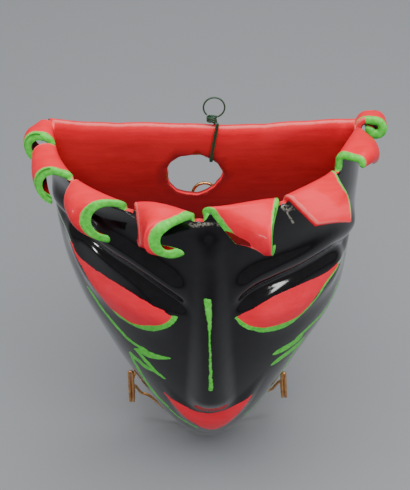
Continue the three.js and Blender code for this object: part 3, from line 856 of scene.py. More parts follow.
def rounded_route(corners, bend, steps):
    """A route through the corners, each rounded over at most `bend` metres."""
    corners = [Vector(c) for c in corners]
    route = [corners[0]]
    for before, here, after in zip(corners, corners[1:], corners[2:]):
        reach = min(bend, (before - here).length * 0.48, (after - here).length * 0.48)
        start = here + (before - here).normalized() * reach
        end = here + (after - here).normalized() * reach
        for i in range(steps + 1):
            t = i / steps
            route.append(start * (1 - t) ** 2 + here * 2 * t * (1 - t) + end * t * t)
    route.append(corners[-1])
    return [tuple(v) for v in route]


def wire_ring(centre, tangent, side, radius, sides):
    up = tangent.cross(side).normalized()
    turn = [2 * math.pi * k / sides for k in range(sides)]
    return [centre + (side * math.cos(a) + up * math.sin(a)) * radius for a in turn]


def tube(name, route, thick, sides=14):
    """A closed tube along a route in metres, `thick` mm in radius, with domed ends."""
    path, radius = [Vector(p) for p in route], thick / 1000
    tangents = [(after - before).normalized()
                for before, after in zip(path[:1] + path, path[1:] + path[-1:])]
    side, sides_of = tangents[0].orthogonal().normalized(), []
    for tangent in tangents:
        side = (side - tangent * side.dot(tangent)).normalized()
        sides_of.append(side.copy())
    verts = []
    for out, size in DOME:
        centre = path[0] - tangents[0] * radius * out * DOME_FLATTENED
        verts += wire_ring(centre, tangents[0], sides_of[0], radius * size, sides)
    for point, tangent, across in zip(path, tangents, sides_of):
        verts += wire_ring(point, tangent, across, radius, sides)
    for out, size in reversed(DOME):
        centre = path[-1] + tangents[-1] * radius * out * DOME_FLATTENED
        verts += wire_ring(centre, tangents[-1], sides_of[-1], radius * size, sides)
    thing = new_mesh_object(name, verts, tube_faces(len(verts) // sides, sides))
    only(thing)
    bpy.ops.object.shade_smooth()
    return thing


def upright_circle(x, y, z, radius, first, last, count):
    """Points on a circle that stands beside the back of the mask, from one angle to another."""
    return [tuple(to_ground([x + radius * math.cos(a), y, z + radius * math.sin(a)]))
            for a in np.radians(np.linspace(first, last, count))]


print("the brass wire is", 2 * WIRE, "mm thick, the green one", 2 * GREEN_WIRE)

# %% [markdown]
# ## The brass stand
#
# A ring behind the back ties two sides together. Each side runs down behind the mask, forward
# as an arm, turns up and over as a hook that holds the mask, and comes back beside itself. The two
# hooks are bent by hand and differ a little, so each measure is a pair: left and right.

# %% Ring and sides of the stand
ARM_X, ARM_Z, HOOK_X, HOOK_Y, HOOK_RISE = (-55.9, 57), 35, (-54.5, 54.8), -7, (39, 32)
RING_X, RING_RADIUS, RING_HEIGHT, APART = 0.9, 8, 193.5, 2.35
STRAND_END = (51.6, 10.8, 26)  # where a side's second strand meets the foot


def stand_side(sign, name):
    rear_y = BEHIND * math.cos(LEAN) + (ARM_Z - TIP_CLEARANCE) / math.cos(LEAN) * math.sin(LEAN)
    half = sign * APART / 2
    arm, hook, rise = [pair[0 if sign < 0 else 1] for pair in (ARM_X, HOOK_X, HOOK_RISE)]
    top = to_ground([RING_X + sign * (WIRE + 0.25), BEHIND, RING_HEIGHT - RING_RADIUS - 2 * WIRE - 0.3])
    rest = [(arm + half, rear_y, ARM_Z), (arm + half, HOOK_Y, ARM_Z),
            (hook + half, HOOK_Y, ARM_Z + rise), (hook - half, HOOK_Y, ARM_Z + rise),
            (arm - half, HOOK_Y, ARM_Z), (arm - half, rear_y, ARM_Z), (sign * STRAND_END[0], *STRAND_END[1:])]
    return tube(name, rounded_route([tuple(top)] + [tuple(p) for p in on_stand(rest)], 0.004, 12), WIRE)


side_left = stand_side(-1, "stand_left_wire")
side_right = stand_side(1, "stand_right_wire")
ring = tube("stand_ring_wire", upright_circle(RING_X, BEHIND, RING_HEIGHT, RING_RADIUS, -84, 264, 61), WIRE)
print("stand sides and ring")

# %% [markdown]
# The foot and the prop are two more bent wires, each the same on both sides. Where they touch the
# ground they are filed flat, so that the stand doesn't roll on round wire.

# %% Foot and prop
TOUCHING = WIRE - 0.15  # height of a wire's middle where it is filed flat


def bent_wire(name, half, bend):
    """A wire from the points of its right half, filed flat at the ground."""
    both = half + [(-x, y, z) for x, y, z in reversed(half)]
    thing = tube(name, rounded_route([tuple(p) for p in on_stand(both)], bend, 14), WIRE)
    for vertex in thing.data.vertices:
        vertex.co.z = max(vertex.co.z, 0.0)
    return thing


foot = bent_wire("stand_foot_wire",
                 [(51.48, 10.8, 25.7), (50, 10.8, 22), (44.8, 10, 20.7), (19, -3, TOUCHING)], 0.006)
prop_top = to_ground([6, BEHIND + 2 * WIRE + 0.3, 170]) * 1000 - [SHIFT_X, SHIFT_Y, 0]
prop = bent_wire("stand_prop_wire", [tuple(prop_top), (40, 103.97, TOUCHING)], 0.008)
print("foot and prop")

# %% [markdown]
# ## The hanging wire
#
# A thin lacquered wire is doubled, wound three times round itself under an open eye, and looped over the
# top edge and through the hole. Eye, collar and the two strands are swept one by one and joined.

# %% Hanging wire
EYE_X, EYE_Z, EYE_RADIUS = 7.9, 257.7, 6.78
COLLAR_X, COLLAR_Y, COLLAR_Z, COLLAR_RADIUS, TURNS, PITCH = 6.2, -2.2, 248, 2.8, 3, 1.25
STRAND_APART = GREEN_WIRE * 0.95  # half the distance between the two strands
THIN_SIDES = 10


def collar_route():
    return [tuple(to_ground([COLLAR_X + COLLAR_RADIUS * math.cos(a), COLLAR_Y + COLLAR_RADIUS * math.sin(a),
                             COLLAR_Z + PITCH * a / (2 * math.pi)]))
            for a in np.linspace(0, 2 * math.pi * TURNS, 90)]


def strand_route(shift):
    """Up out of the collar, over the top edge, down inside, out through the hole and up the back."""
    inside, behind = -WALL - BACK_GAP - GREEN_WIRE, BACK_GAP + GREEN_WIRE
    over = HEIGHT + BACK_GAP + GREEN_WIRE
    corners = [(COLLAR_X, COLLAR_Y, COLLAR_Z + TURNS * PITCH), (COLLAR_X, COLLAR_Y, over),
               (10, inside, over), (6.4, inside, 228.4), (5.4, inside, 220.4), (5.4, behind, 220.4),
               (9, behind, over), (COLLAR_X + 1.2, COLLAR_Y + 1.2, over + 0.4)]
    return rounded_route([tuple(to_ground([x + shift, y, z])) for x, y, z in corners], 0.0016, 8)


def hanging_wire():
    eye = upright_circle(EYE_X, COLLAR_Y, EYE_Z, EYE_RADIUS, -105, 225, 60)
    routes = [("eye", eye), ("collar", collar_route()), ("strand", strand_route(-STRAND_APART)),
              ("strand", strand_route(STRAND_APART))]
    pieces = [tube(name, route, GREEN_WIRE, THIN_SIDES) for name, route in routes]
    bpy.ops.object.select_all(action="DESELECT")
    for piece in pieces:
        piece.select_set(True)
    bpy.context.view_layer.objects.active = pieces[0]
    bpy.ops.object.join()
    pieces[0].name = "hanging_wire_green"
    return pieces[0]


green_wire = hanging_wire()
print("hanging wire", len(green_wire.data.polygons), "faces")

# %% [markdown]
# ## Small helpers for materials
#
# Every glaze is worked out with nodes, from numbers that lie on the mesh or from the place on the object.
# These helpers add one node each and return its output, so that a material can be read line by line.

# %% Node helpers
def add_node(tree, kind, **settings):
    made = tree.nodes.new(kind)
    for key, value in settings.items():
        setattr(made, key, value)
    return made


def feed(tree, socket, value):
    """Links a socket to another one, or gives it a plain value."""
    if isinstance(value, bpy.types.NodeSocket):
        tree.links.new(value, socket)
    else:
        socket.default_value = value


def calc(tree, operation, *values):
    made = add_node(tree, "ShaderNodeMath", operation=operation)
    for socket, value in zip(made.inputs, values):
        feed(tree, socket, value)
    return made.outputs[0]


def ramp(tree, value, low, high, to_low=0.0, to_high=1.0, shape="LINEAR"):
    """Turns the range low..high into to_low..to_high, and holds still outside it."""
    made = add_node(tree, "ShaderNodeMapRange", interpolation_type=shape)
    for socket, number in zip(made.inputs[:5], (value, low, high, to_low, to_high)):
        feed(tree, socket, number)
    return made.outputs[0]


def highest(tree, masks):
    total = masks[0]
    for one in masks[1:]:
        total = calc(tree, "MAXIMUM", total, one)
    return total


def mix_colour(tree, factor, first, second):
    made = add_node(tree, "ShaderNodeMix", data_type="RGBA")
    feed(tree, made.inputs["Factor"], factor)
    feed(tree, made.inputs[6], first)
    feed(tree, made.inputs[7], second)
    return made.outputs[2]


def colour(red, green, blue):
    """A colour given as it looks on a screen, 0..255, as the linear numbers that nodes want."""
    shares = [v / 255 for v in (red, green, blue)]
    linear = [v / 12.92 if v < 0.0404 else ((v + 0.055) / 1.055) ** 2.4 for v in shares]
    return (*linear, 1.0)


print("helpers ready; mid grey is", [round(v, 3) for v in colour(128, 128, 128)])

# %% [markdown]
# Hand-laid glaze is uneven at every scale, so noise is used all over. It is read off the object's own
# coordinates, which stay put when the mask is turned, and is centred on zero so that it can be
# added to anything.

# %% Noise and groups
def noise(tree, place, scale, detail=2.0, stretch=(1, 1, 1)):
    """Noise between about -1 and 1; `scale` is in cells to the metre."""
    mapping = add_node(tree, "ShaderNodeMapping")
    mapping.inputs["Scale"].default_value = stretch
    tree.links.new(place, mapping.inputs["Vector"])
    made = add_node(tree, "ShaderNodeTexNoise")
    tree.links.new(mapping.outputs[0], made.inputs["Vector"])
    made.inputs["Scale"].default_value = scale
    made.inputs["Detail"].default_value = detail
    return calc(tree, "MULTIPLY_ADD", made.outputs[0], 4.0, -2.0)


def new_group(name, inputs, outputs):
    """A node group with the given sockets, each a name and a kind; returns it and its two end nodes."""
    group = bpy.data.node_groups.new(name, "ShaderNodeTree")
    for sockets, in_out in ((inputs, "INPUT"), (outputs, "OUTPUT")):
        for socket, kind in sockets.items():
            group.interface.new_socket(socket, in_out=in_out, socket_type="NodeSocket" + kind)
    return group, group.nodes.new("NodeGroupInput"), group.nodes.new("NodeGroupOutput")


print("noise and groups ready")

# %% [markdown]
# ## Strokes of the brush
#
# The eyes, the mouth and the thin green lines were painted with a brush. A picture of them would be as
# coarse as its pixels; drawn as shapes they stay sharp at any distance. Each stroke is the band between
# two drawn lines, both given by a few points: height over the angle round the face, or, for steep
# strokes, angle over height. Float Curve nodes join the points smoothly.

# %% A stroke between two lines
END_ROOM, SIDE_ROOM = 0.8, 3  # how far the curves go on past a stroke's ends and sides


def drawn_line(tree, share, line, start, end, low, high):
    """Height of a drawn line, from a Float Curve through its points."""
    made = add_node(tree, "ShaderNodeFloatCurve")
    made.inputs["Factor"].default_value = 1.0
    tree.links.new(share, made.inputs["Value"])
    curve = made.mapping.curves[0]
    spots = [((a - start) / (end - start), (b - low) / (high - low)) for a, b in sorted(line)]
    for _ in range(len(spots) - 2):
        curve.points.new(0.5, 0.5)
    for point, spot in zip(curve.points, spots):
        point.location = spot
        point.handle_type = "AUTO"
    made.mapping.update()
    return calc(tree, "MULTIPLY_ADD", made.outputs[0], high - low, low)


def stroke(tree, along, across, one_side, other_side, soft=0.25):
    """1 between the two lines of a stroke, 0 outside, with a soft edge."""
    both = one_side + other_side
    start, end = min(p[0] for p in both) - END_ROOM, max(p[0] for p in both) + END_ROOM
    low, high = min(p[1] for p in both) - SIDE_ROOM, max(p[1] for p in both) + SIDE_ROOM
    share = ramp(tree, along, start, end)
    middles = [(sorted(one_side)[n][1] + sorted(other_side)[n][1]) / 2 for n in (0, -1)]
    lines = []
    for line, crossing in ((one_side, -1), (other_side, 1)):
        # Past the ends the two lines cross over, so that the stroke is closed there.
        first, last = (start, middles[0] + crossing), (end, middles[1] + crossing)
        lines.append(drawn_line(tree, share, [first] + sorted(line) + [last], start, end, low, high))
    under_top = calc(tree, "SUBTRACT", lines[0], across)
    over_bottom = calc(tree, "SUBTRACT", across, lines[1])
    inside = calc(tree, "MINIMUM", under_top, over_bottom)
    return ramp(tree, inside, -soft, soft, shape="SMOOTHSTEP")


def swell(centre, half):
    """The two lines of a thin stroke, from its middle line and half its width."""
    return [(a, b + half) for a, b in centre], [(a, b - half) for a, b in centre]


print("a stroke can be drawn")


# %% The painted strokes
RED_AREAS = {
    "left eye": ([(-61.5, 181.5), (-57.7, 175.8), (-51.9, 171.2), (-46.2, 169.2), (-40.6, 167.4), (-30.7, 163.2),
                  (-24, 159), (-19.2, 155.8), (-17.5, 153.2), (-16, 151.2)],
                 [(-61.5, 180.5), (-59, 174.8), (-55.1, 167.3), (-52.4, 160.9), (-48.2, 150.3), (-44.3, 142.1),
                  (-39, 138.5), (-33.8, 137), (-25.6, 140.6), (-19.1, 145.4), (-17, 148.5), (-16, 150.7)]),
    "right eye": ([(10.2, 149.3), (15.2, 153.6), (21.8, 158.9), (29.1, 161.5), (36.7, 162.4), (45, 161.8),
                   (51.2, 161.4), (58, 161.9)],
                  [(10.2, 148.7), (12.8, 144.3), (17, 140.1), (23.8, 137.6), (29, 137.2), (35.3, 137.6),
                   (40.5, 142.2), (44.6, 148.7), (50.9, 155.6), (58, 161)]),
    "mouth": ([(-30.1, 75), (-25.7, 72.6), (-21.3, 70.8), (-13.4, 65.7), (-5, 62), (3.2, 63.2), (11.5, 67.8),
               (16.9, 70.4), (21.4, 73.5), (24.1, 75.2)],
              [(-30.1, 74.2), (-27.8, 68.1), (-24.9, 62.3), (-17.8, 53.6), (-10.4, 46.4), (-5.3, 41.3),
               (2.2, 38.2), (8, 40), (15.6, 49), (18.7, 58.5), (23.3, 70.4), (24.1, 74.4)]),
}
GREEN_STROKES = {
    "under left eye": ([(-43, 143), (-38, 141), (-30, 141), (-22, 148), (-14.6, 151.5)],
                       [(-43, 139), (-37.6, 135.5), (-31.9, 134.4), (-26.5, 134.8), (-21.2, 138.8),
                        (-16.2, 144.4), (-14.4, 148.4)]),
    "under right eye": ([(9.7, 149.5), (14, 149), (20, 145), (30, 141), (40, 143), (50, 155), (58.4, 161.2)],
                        [(9.7, 146.5), (11.3, 142.4), (14.9, 138), (20.4, 134.2), (26.3, 132.2), (32, 132.4),
                         (39, 138), (46, 146.3), (50.4, 153), (58.4, 160)]),
    "left cheek": ([(-59.6, 147), (-54.6, 142.6), (-52, 137.7), (-49.1, 132.8), (-45.9, 128.4), (-42.9, 123.8),
                    (-39.6, 119.7), (-35.4, 117.1), (-30.7, 115.8)],
                   [(-59.6, 145.6), (-56.9, 140.6), (-54.1, 135.6), (-51.1, 130.5), (-47.7, 125.8),
                    (-44.7, 121.1), (-41.1, 117.1), (-36.7, 114.6), (-31.6, 113.5)]),
    "left blade, upper": ([(-39, 110.8), (-35.1, 113.9), (-32.6, 115), (-29.6, 114.9), (-25.7, 114.6),
                           (-21.8, 114.5), (-20, 114.5)],
                          [(-39, 109.6), (-35.7, 108.9), (-32.4, 108.4), (-28, 109.4), (-23.7, 111.2),
                           (-20, 113.4)]),
    "left blade, middle": ([(-38.1, 109.8), (-35.8, 108.4), (-33.5, 105.9), (-31.1, 101.5), (-28.5, 97),
                            (-25.3, 92.9)],
                           [(-38.1, 108.3), (-36.7, 104.6), (-34.7, 100.7), (-31.9, 97.2), (-29, 93.9),
                            (-25.3, 91.6)]),
    "left blade, lower": ([(-44.2, 103.4), (-39.6, 101.4), (-36.4, 99.2), (-33, 97.8), (-30.3, 96.8),
                           (-27.9, 94.2)],
                          [(-44.9, 99.8), (-41.5, 97.5), (-38.2, 95.1), (-34.5, 94.2), (-30.8, 94.4),
                           (-27.9, 92.9)]),
    "left of the mouth, below": swell([(-37.3, 59.3), (-33.9, 55.3), (-30.6, 51.5), (-27, 47.6), (-22.4, 44.4),
                                       (-16.5, 43.1), (-10.6, 40.7)], 1.5),
    "right cheek": swell([(40.2, 113.8), (45, 116.8), (48, 118.2), (51, 119.2), (54, 120), (58, 121.6),
                          (62, 125), (66, 130), (69, 136)], 1.9),
    "right blade, upper": ([(28, 110.9), (30, 112.5), (33.1, 113.3), (37.7, 113.9), (44.6, 115.5)],
                           [(28, 109.2), (32.2, 108.3), (35.8, 108.2), (40, 108.7), (44.6, 110.4)]),
    "right blade, lower": ([(30, 100.8), (32, 103.1), (35.1, 104.8), (39.1, 106), (42.9, 107), (48.5, 108.6)],
                           [(30, 98.6), (33.4, 98.8), (37, 99.8), (41.2, 101), (46.9, 102.5), (48.5, 104)]),
}
STEEP_STROKES = {
    "nose": ([(168, 0.1), (160, 0), (153.6, -0.2), (147.8, -0.45), (144.5, -0.95), (138.9, -1.1), (128.2, -1.4),
              (115.3, -1.3), (106.7, -0.9), (97, -0.5)],
             [(168, -2.7), (159.8, -2.3), (153.6, -1.95), (147.8, -1.75), (144.5, -1.65), (139, -1.7),
              (128.3, -2.1), (115.4, -2.3), (106.8, -2.25), (97, -2.1)]),
    "left of the mouth": ([(103.4, -42.6), (95.8, -43.4), (89.6, -42.9), (83.1, -42.5), (76.7, -41.8),
                           (70.7, -40.4), (65.5, -38.4), (61, -35.6), (56, -32.2)],
                          [(103.4, -44.6), (91.8, -46.3), (85.3, -46), (78.5, -45.7), (71.9, -45.1),
                           (65.7, -43.9), (60.8, -41.2), (56, -36.6)]),
    "right of the mouth": swell([(104, 48.6), (99, 46.3), (94, 46.2), (88, 47), (83.5, 47.4), (80, 48.2),
                                 (72, 48.6), (65, 47.4), (58.7, 44.4), (55, 39.8), (49.6, 35),
                                 (45.2, 29.2)], 1.0),
}
PALE_STROKES = {
    "outside the left eye": swell([(-84, 191.4), (-78.7, 189.8), (-73.5, 188), (-69, 186.2), (-64.4, 184.8),
                                   (-61.6, 181.8)], 0.8),
    "outside the right eye": swell([(57.8, 161.5), (63, 161.5), (71, 158.8), (77, 159.4), (82, 161.5)], 0.8),
}
# Places where the glaze ran thinly over the cut clay: under the slits between the tabs.
# The patch right of tab 4 is partly a painted highlight, a glint on the glaze.
THIN_GLAZE_AND_GLINT = {
    "slit right of tab 3": swell([(-27, 224), (-25.6, 219), (-24.4, 213), (-23.4, 207), (-22.6, 202)], 1.2),
    "slit right of tab 5": swell([(25, 224.5), (27, 223), (29.5, 222.5), (32, 220)], 1.6),
    "drip right of tab 5": swell([(26.6, 221), (28.2, 216), (29.6, 212.5)], 0.9),
    # Partly a painted highlight: a glint on the glaze over this slit.
    "slit right of tab 4": swell([(-6, 219), (-2, 219.6), (2, 219.4), (5.5, 220)], 1.2),
}
print(len(RED_AREAS), "red areas,", len(GREEN_STROKES) + len(STEEP_STROKES), "green strokes")

# %% [markdown]
# All strokes go into one group. A hand with a brush shakes a little, so the place on the face is
# shaken with noise before it is compared with the lines.

# %% Strokes group
SLOW_SHAKE, QUICK_SHAKE = 0.28, 0.14  # degrees and mm
STRETCHES = ((1, 1, 1.02), (1.03, 0.98, 1))  # two slightly different noises, for the angle and the height


def shaken(group, value, place, stretch):
    quick = calc(group, "MULTIPLY", noise(group, place, 620, 1.0, stretch), QUICK_SHAKE)
    shake = calc(group, "MULTIPLY_ADD", noise(group, place, 160, 1.0), SLOW_SHAKE, quick)
    return calc(group, "ADD", value, shake)


def make_strokes_group():
    group, start, end = new_group("painted strokes", dict(Face="Vector", Place="Vector"),
                                  dict(Red="Float", Green="Float", Pale="Float", ThinGlazeAndGlint="Float"))
    apart = add_node(group, "ShaderNodeSeparateXYZ")
    group.links.new(start.outputs["Face"], apart.inputs[0])
    phi, z = (shaken(group, apart.outputs[n], start.outputs["Place"], STRETCHES[n]) for n in (0, 1))
    masks = {"Red": [stroke(group, phi, z, *lines) for lines in RED_AREAS.values()],
             "Green": [stroke(group, phi, z, *lines) for lines in GREEN_STROKES.values()]
             + [stroke(group, z, phi, *lines) for lines in STEEP_STROKES.values()],
             "Pale": [stroke(group, phi, z, *lines) for lines in PALE_STROKES.values()],
             "ThinGlazeAndGlint": [stroke(group, phi, z, *lines, soft=1.0) for lines in THIN_GLAZE_AND_GLINT.values()]}
    for name, found in masks.items():
        group.links.new(highest(group, found), end.inputs[name])
    return group


strokes_group = make_strokes_group()
print(strokes_group.name, "with", len(strokes_group.nodes), "nodes")

# %% [markdown]
# ## The glaze
#
# One group decides the paint at every point. It starts with black outside and red inside, which darkens down in
# the pocket as painted shade, turns the curled undersides of the tabs dark red, a painted shade on the red
# paint, runs green along the cut edges that got it, and lays the strokes on top. It gives back a colour, a
# roughness, the weight of the clear coat, which lies thick on the black, and a height in mm for the bump. Where
# two colours are named together, noise runs between them.

# %% Colours of the glaze
BLACK = colour(13, 12, 15), colour(22, 20, 23)
RED = colour(236, 20, 40), colour(254, 42, 62)
# The inside red near the rim, and the painted shade it darkens to down in the pocket.
INSIDE_RED_AND_SHADE = colour(208, 44, 48), colour(78, 27, 32)  # near the rim, and down in the pocket
STREAK_RED, SPECK_RED, RIM_PINK = colour(96, 14, 20), colour(150, 20, 26), colour(246, 128, 124)
# The red on the curled undersides is darkened as painted shade inside the curls; the brown is where that red
# begins.
SHADED_UNDERSIDE_RED, UNDERSIDE_START = (colour(104, 10, 12), colour(140, 20, 20)), colour(150, 78, 48)
GREEN, GREEN_SEAM = (colour(52, 178, 40), colour(116, 238, 92)), colour(206, 150, 120)
EYE_RED = colour(246, 24, 46), colour(255, 52, 74)
# The first colour is the pale clay under the slits; at one slit it also stands for a painted glint.
THIN_CLAY_AND_GLINT, PALE_GREEN = colour(176, 170, 156), colour(150, 176, 146)
print("black is", [round(v, 4) for v in BLACK[0][:3]])

# %% [markdown]
# The noises come first, because several paints use the same ones: `broad` for slow changes, `mid` and
# `fine` for mottling, `streaks` for the drag of the brush, and `jitter`, which makes the borders ragged.

# %% What all paints share
def read_glaze_inputs(group, start):
    """The group's inputs and its noises, by name."""
    at = {socket.name: socket for socket in start.outputs if socket.name}
    place = at["Place"]
    at["broad"], at["mid"] = noise(group, place, 45, 2.0), noise(group, place, 190, 3.0)
    at["fine"], at["streaks"] = noise(group, place, 800, 2.0), noise(group, place, 260, 4.0, (0.16, 1, 1))
    at["jitter"] = calc(group, "MULTIPLY_ADD", at["mid"], 0.4, calc(group, "MULTIPLY", at["fine"], 0.22))
    slow = calc(group, "MULTIPLY_ADD", at["broad"], 0.3, 0.5)
    at["tone"] = calc(group, "MULTIPLY_ADD", at["streaks"], 0.3, slow)
    return at


def between(group, factor, pair):
    return mix_colour(group, factor, *pair)


print("the paints share four noises")


# %% Red inside, black outside
def red_paint(group, at):
    """Red, darkened down in the pocket as painted shade, with specks, and worn to pink along the rim."""
    side, tone = at["Side"], at["tone"]
    red = between(group, ramp(group, tone, 0, 1), RED)
    off_tabs = ramp(group, at["Along"], 0, 0.12, 1, 0)
    inward = calc(group, "MULTIPLY", off_tabs, ramp(group, side, 4, 16))
    # Painted shade: the red darkens with the distance from the rim, down in the pocket.
    deep = between(group, ramp(group, side, 8, 95), INSIDE_RED_AND_SHADE)
    deep = mix_colour(group, ramp(group, tone, 0, 1, 0.25, 0), deep, STREAK_RED)
    red = mix_colour(group, inward, red, deep)
    red = mix_colour(group, ramp(group, at["fine"], 0.9, 1.8, 0, 0.5), red, SPECK_RED)
    from_rim = calc(group, "ABSOLUTE", calc(group, "SUBTRACT", side, 1.9))
    worn = ramp(group, calc(group, "ADD", from_rim, at["jitter"]), 0.3, 1.5, 0.62, 0, "SMOOTHSTEP")
    return mix_colour(group, worn, red, RIM_PINK)


def wall_paint(group, at):
    black = between(group, ramp(group, at["mid"], -1, 1), BLACK)
    at["on red"] = ramp(group, calc(group, "MULTIPLY_ADD", at["jitter"], 0.5, at["Side"]), -1.9, -1.4)
    return mix_colour(group, at["on red"], black, red_paint(group, at))


print("walls can be painted")


# %% Undersides and green edges of the tabs
def underside_paint(group, at, paint):
    """Red paint darkened as painted shade from half way along the underside, with a brown border where it
    begins.
    """
    outwards = calc(group, "MULTIPLY_ADD", at["mid"], 0.03, at["Along"])
    # Painted shade: the underside red is darkened, as inside a curl.
    shaded_dark_red = between(group, ramp(group, at["mid"], -1, 1), SHADED_UNDERSIDE_RED)
    border = mix_colour(group, ramp(group, outwards, 0.54, 0.58), UNDERSIDE_START, shaded_dark_red)
    outside = ramp(group, at["Side"], -2.4, -1.9, 1, 0)
    at["under"] = calc(group, "MULTIPLY", outside, ramp(group, outwards, 0.5, 0.54))
    return mix_colour(group, at["under"], paint, border)


def edge_paint(group, at, paint):
    """Green on the cut edges, and a pale seam where it ends on the red."""
    tone = calc(group, "MULTIPLY_ADD", noise(group, at["Place"], 420, 3.0), 0.35, 0.5)
    at["green paint"] = between(group, ramp(group, tone, 0, 1), GREEN)
    to_green = calc(group, "ADD", at["Green edge"], at["jitter"])
    seam = calc(group, "MULTIPLY", ramp(group, to_green, 3.3, 3.7, 0.7, 0), at["on red"])
    paint = mix_colour(group, seam, paint, GREEN_SEAM)
    at["on edge"] = ramp(group, to_green, 2.8, 3.1, 1, 0)
    return mix_colour(group, at["on edge"], paint, at["green paint"])


print("tabs can be painted")


# %% Strokes, roughness and height
def stroke_paint(group, at, paint):
    patchy = ramp(group, calc(group, "MULTIPLY_ADD", at["mid"], 0.8, at["fine"]), -0.5, 0.5, 0, 0.85)
    at["thin"] = calc(group, "MULTIPLY", at["ThinGlazeAndGlint"], patchy)
    # Pale clay under the slits, and at one slit a painted glint.
    paint = mix_colour(group, at["thin"], paint, THIN_CLAY_AND_GLINT)
    paint = mix_colour(group, at["Pale"], paint, PALE_GREEN)
    paint = mix_colour(group, at["Green"], paint, at["green paint"])
    return mix_colour(group, at["Red"], paint, between(group, ramp(group, at["tone"], 0, 1), EYE_RED))


def glaze_roughness(group, at, painted):
    """Glassy where it is black, silky where it was painted, duller on the pale patches under the slits."""
    rough = calc(group, "MULTIPLY_ADD", at["mid"], 0.02, ramp(group, painted, 0, 1, 0.1, 0.36))
    return calc(group, "MULTIPLY_ADD", at["thin"], 0.3, rough)


def glaze_height(group, at, painted):
    """Paint lies 0.12 mm thick, brush marks and slow waves add to it."""
    raised = calc(group, "MULTIPLY", highest(group, [at["on edge"], at["Green"], at["Red"]]), 0.12)
    height = calc(group, "MULTIPLY_ADD", at["broad"], 0.16, raised)
    brushed = calc(group, "MULTIPLY", at["streaks"], painted)
    height = calc(group, "MULTIPLY_ADD", brushed, 0.05, height)
    return calc(group, "MULTIPLY_ADD", at["mid"], 0.02, height)


print("strokes, roughness and height ready")


# %% Glaze group
BLACK_COAT, PAINTED_COAT = 0.75, 0.1  # weight of the clear coat


def make_glaze_group():
    inputs = dict.fromkeys(["Side", "Green edge", "Along", "Red", "Green", "Pale", "ThinGlazeAndGlint"], "Float")
    outputs = {"Colour": "Color", "Roughness": "Float", "Height": "Float", "Gloss coat": "Float"}
    group, start, end = new_group("glaze of the mask", {**inputs, "Place": "Vector"}, outputs)
    at = read_glaze_inputs(group, start)
    paint = underside_paint(group, at, wall_paint(group, at))
    paint = stroke_paint(group, at, edge_paint(group, at, paint))
    painted = highest(group, [at[name] for name in ("on red", "on edge", "under", "Red", "Green")])
    results = {"Colour": paint, "Roughness": glaze_roughness(group, at, painted),
               "Height": glaze_height(group, at, painted),
               "Gloss coat": ramp(group, painted, 0, 1, BLACK_COAT, PAINTED_COAT)}
    for name, result in results.items():
        group.links.new(result, end.inputs[name])
    return group


glaze_group = make_glaze_group()
print(glaze_group.name, "with", len(glaze_group.nodes), "nodes")

# %% [markdown]
# ## The three materials
#
# The mask's material reads the paint numbers off the mesh and hands them to the groups. Its own
# specular is kept low, so that the painted red stays deep, and the clear coat gives the black its
# gloss. Brass and the green enamelled wire are simpler: a base colour, darker where noise says so.

# %% Material of the mask
def start_material(name):
    material = bpy.data.materials.new(name)
    material.use_nodes = True
    return material, material.node_tree, material.node_tree.nodes["Principled BSDF"]


def use_group(tree, group, values):
    made = add_node(tree, "ShaderNodeGroup", node_tree=group)
    for name, value in values.items():
        tree.links.new(value, made.inputs[name])
    return made.outputs


def bump(tree, height, shader, distance=0.001):
    """Bump from a height; `distance` is in metres, so 0.001 takes the height as millimetres."""
    made = add_node(tree, "ShaderNodeBump")
    made.inputs["Distance"].default_value = distance
    tree.links.new(height, made.inputs["Height"])
    tree.links.new(made.outputs[0], shader.inputs["Normal"])


def make_glaze():
    material, tree, shader = start_material("glazed_clay")
    place = add_node(tree, "ShaderNodeTexCoord").outputs["Object"]
    read = {name: add_node(tree, "ShaderNodeAttribute", attribute_name=name).outputs
            for name in ("side", "green", "along", "face")}
    drawn = use_group(tree, strokes_group, {"Face": read["face"]["Vector"], "Place": place})
    values = {"Side": read["side"]["Fac"], "Green edge": read["green"]["Fac"], "Along": read["along"]["Fac"],
              "Place": place, **{name: drawn[name] for name in ("Red", "Green", "Pale", "ThinGlazeAndGlint")}}
    glaze = use_group(tree, glaze_group, values)
    for result, socket in (("Colour", "Base Color"), ("Roughness", "Roughness"),
                           ("Gloss coat", "Coat Weight")):
        tree.links.new(glaze[result], shader.inputs[socket])
    shader.inputs["Coat Roughness"].default_value = 0.09
    shader.inputs["Specular IOR Level"].default_value = 0.13
    bump(tree, glaze["Height"], shader)
    return material


mask.data.materials.append(make_glaze())
print("the mask is glazed")


# %% Materials of the wires
def make_wire_material(name, bright, dark, metallic, roughness):
    material, tree, shader = start_material(name)
    place = add_node(tree, "ShaderNodeTexCoord").outputs["Object"]
    patches = noise(tree, place, 130, 3.0)
    shade = mix_colour(tree, ramp(tree, patches, -0.5, 1.1), bright, dark)
    tree.links.new(shade, shader.inputs["Base Color"])
    shader.inputs["Metallic"].default_value = metallic
    tree.links.new(ramp(tree, patches, -1, 1, roughness, roughness + 0.15), shader.inputs["Roughness"])
    bump(tree, noise(tree, place, 900, 2.0), shader, 0.00006)
    return material


brass = make_wire_material("brass", colour(242, 188, 124), colour(178, 112, 62), 1.0, 0.24)
enamel = make_wire_material("green_wire", colour(22, 74, 52), colour(64, 70, 44), 0.0, 0.22)
for wire in (side_left, side_right, ring, foot, prop):
    wire.data.materials.append(brass)
green_wire.data.materials.append(enamel)
print("materials:", [m.name for m in bpy.data.materials])
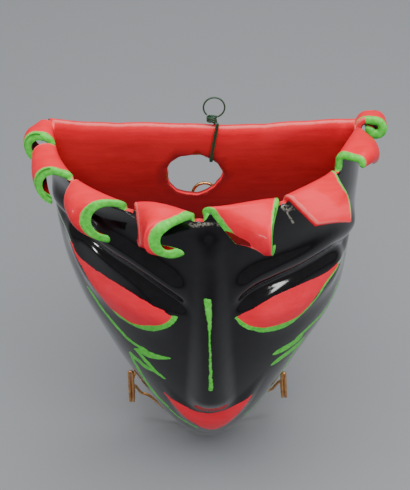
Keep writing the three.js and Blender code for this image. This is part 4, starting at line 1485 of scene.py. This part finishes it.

# %% [markdown]
# ## Handing the pieces over
#
# Each finished piece says which body it rides on and which node of the CAD model it takes the place of.
# Nothing on this mask moves, so everything rides on one body.

# %% Hand the pieces over
for piece, node, slot in ((mask, "mask", "glazed_clay"), (green_wire, "hanging_wire", "green_wire"),
                          (side_left, "stand_side_left", "brass_wire"),
                          (side_right, "stand_side_right", "brass_wire"), (ring, "stand_ring", "brass_wire"),
                          (foot, "stand_front_foot", "brass_wire"), (prop, "stand_rear_prop", "brass_wire")):
    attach(piece, "root")
    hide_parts(node)
    print(piece.name, "stands for", node)

# %% [markdown]
# ## Floor and light
#
# A plain pale floor and one broad soft light overhead show the form. Black glaze is mostly seen by what
# it mirrors, so two small windows stand low at the sides, where the grooves over the eyes face.

# %% Floor
bpy.ops.mesh.primitive_plane_add(size=16, location=(0, 0, 0))
floor = bpy.context.object
floor.name = "floor"
floor_material, _, floor_shader = start_material("floor_pale")
floor_shader.inputs["Base Color"].default_value = (0.245, 0.255, 0.27, 1)
floor_shader.inputs["Roughness"].default_value = 0.7
floor.data.materials.append(floor_material)
print("floor laid")


# %% Lights
def area_light(name, place, aim, size, power):
    """A rectangular light at a place (m), aimed at a point, with its two sides (m) and its power (W)."""
    data = bpy.data.lights.new(name, "AREA")
    data.shape = "RECTANGLE"
    data.size, data.size_y = size
    data.energy = power
    lamp = bpy.data.objects.new(name, data)
    bpy.context.collection.objects.link(lamp)
    turned = (Vector(aim) - Vector(place)).to_track_quat("-Z", "Y")
    lamp.matrix_world = Matrix.Translation(place) @ turned.to_matrix().to_4x4()


area_light("above", (0.05, -0.1, 1.5), (0, 0, 0.1), (2.0, 1.7), 43)
area_light("window right", (0.62, -0.52, 0.52), (0, 0, 0.14), (0.24, 0.1), 1.7)
area_light("window left", (-0.86, -0.27, 0.24), (0, 0, 0.14), (0.1, 0.08), 0.9)
world = bpy.data.worlds.new("studio")
bpy.context.scene.world = world
world.use_nodes = True
surround = world.node_tree.nodes["Background"].inputs
surround["Color"].default_value = (0.5, 0.5, 0.5, 1)
surround["Strength"].default_value = 0.4
print("three lights and a grey surround")
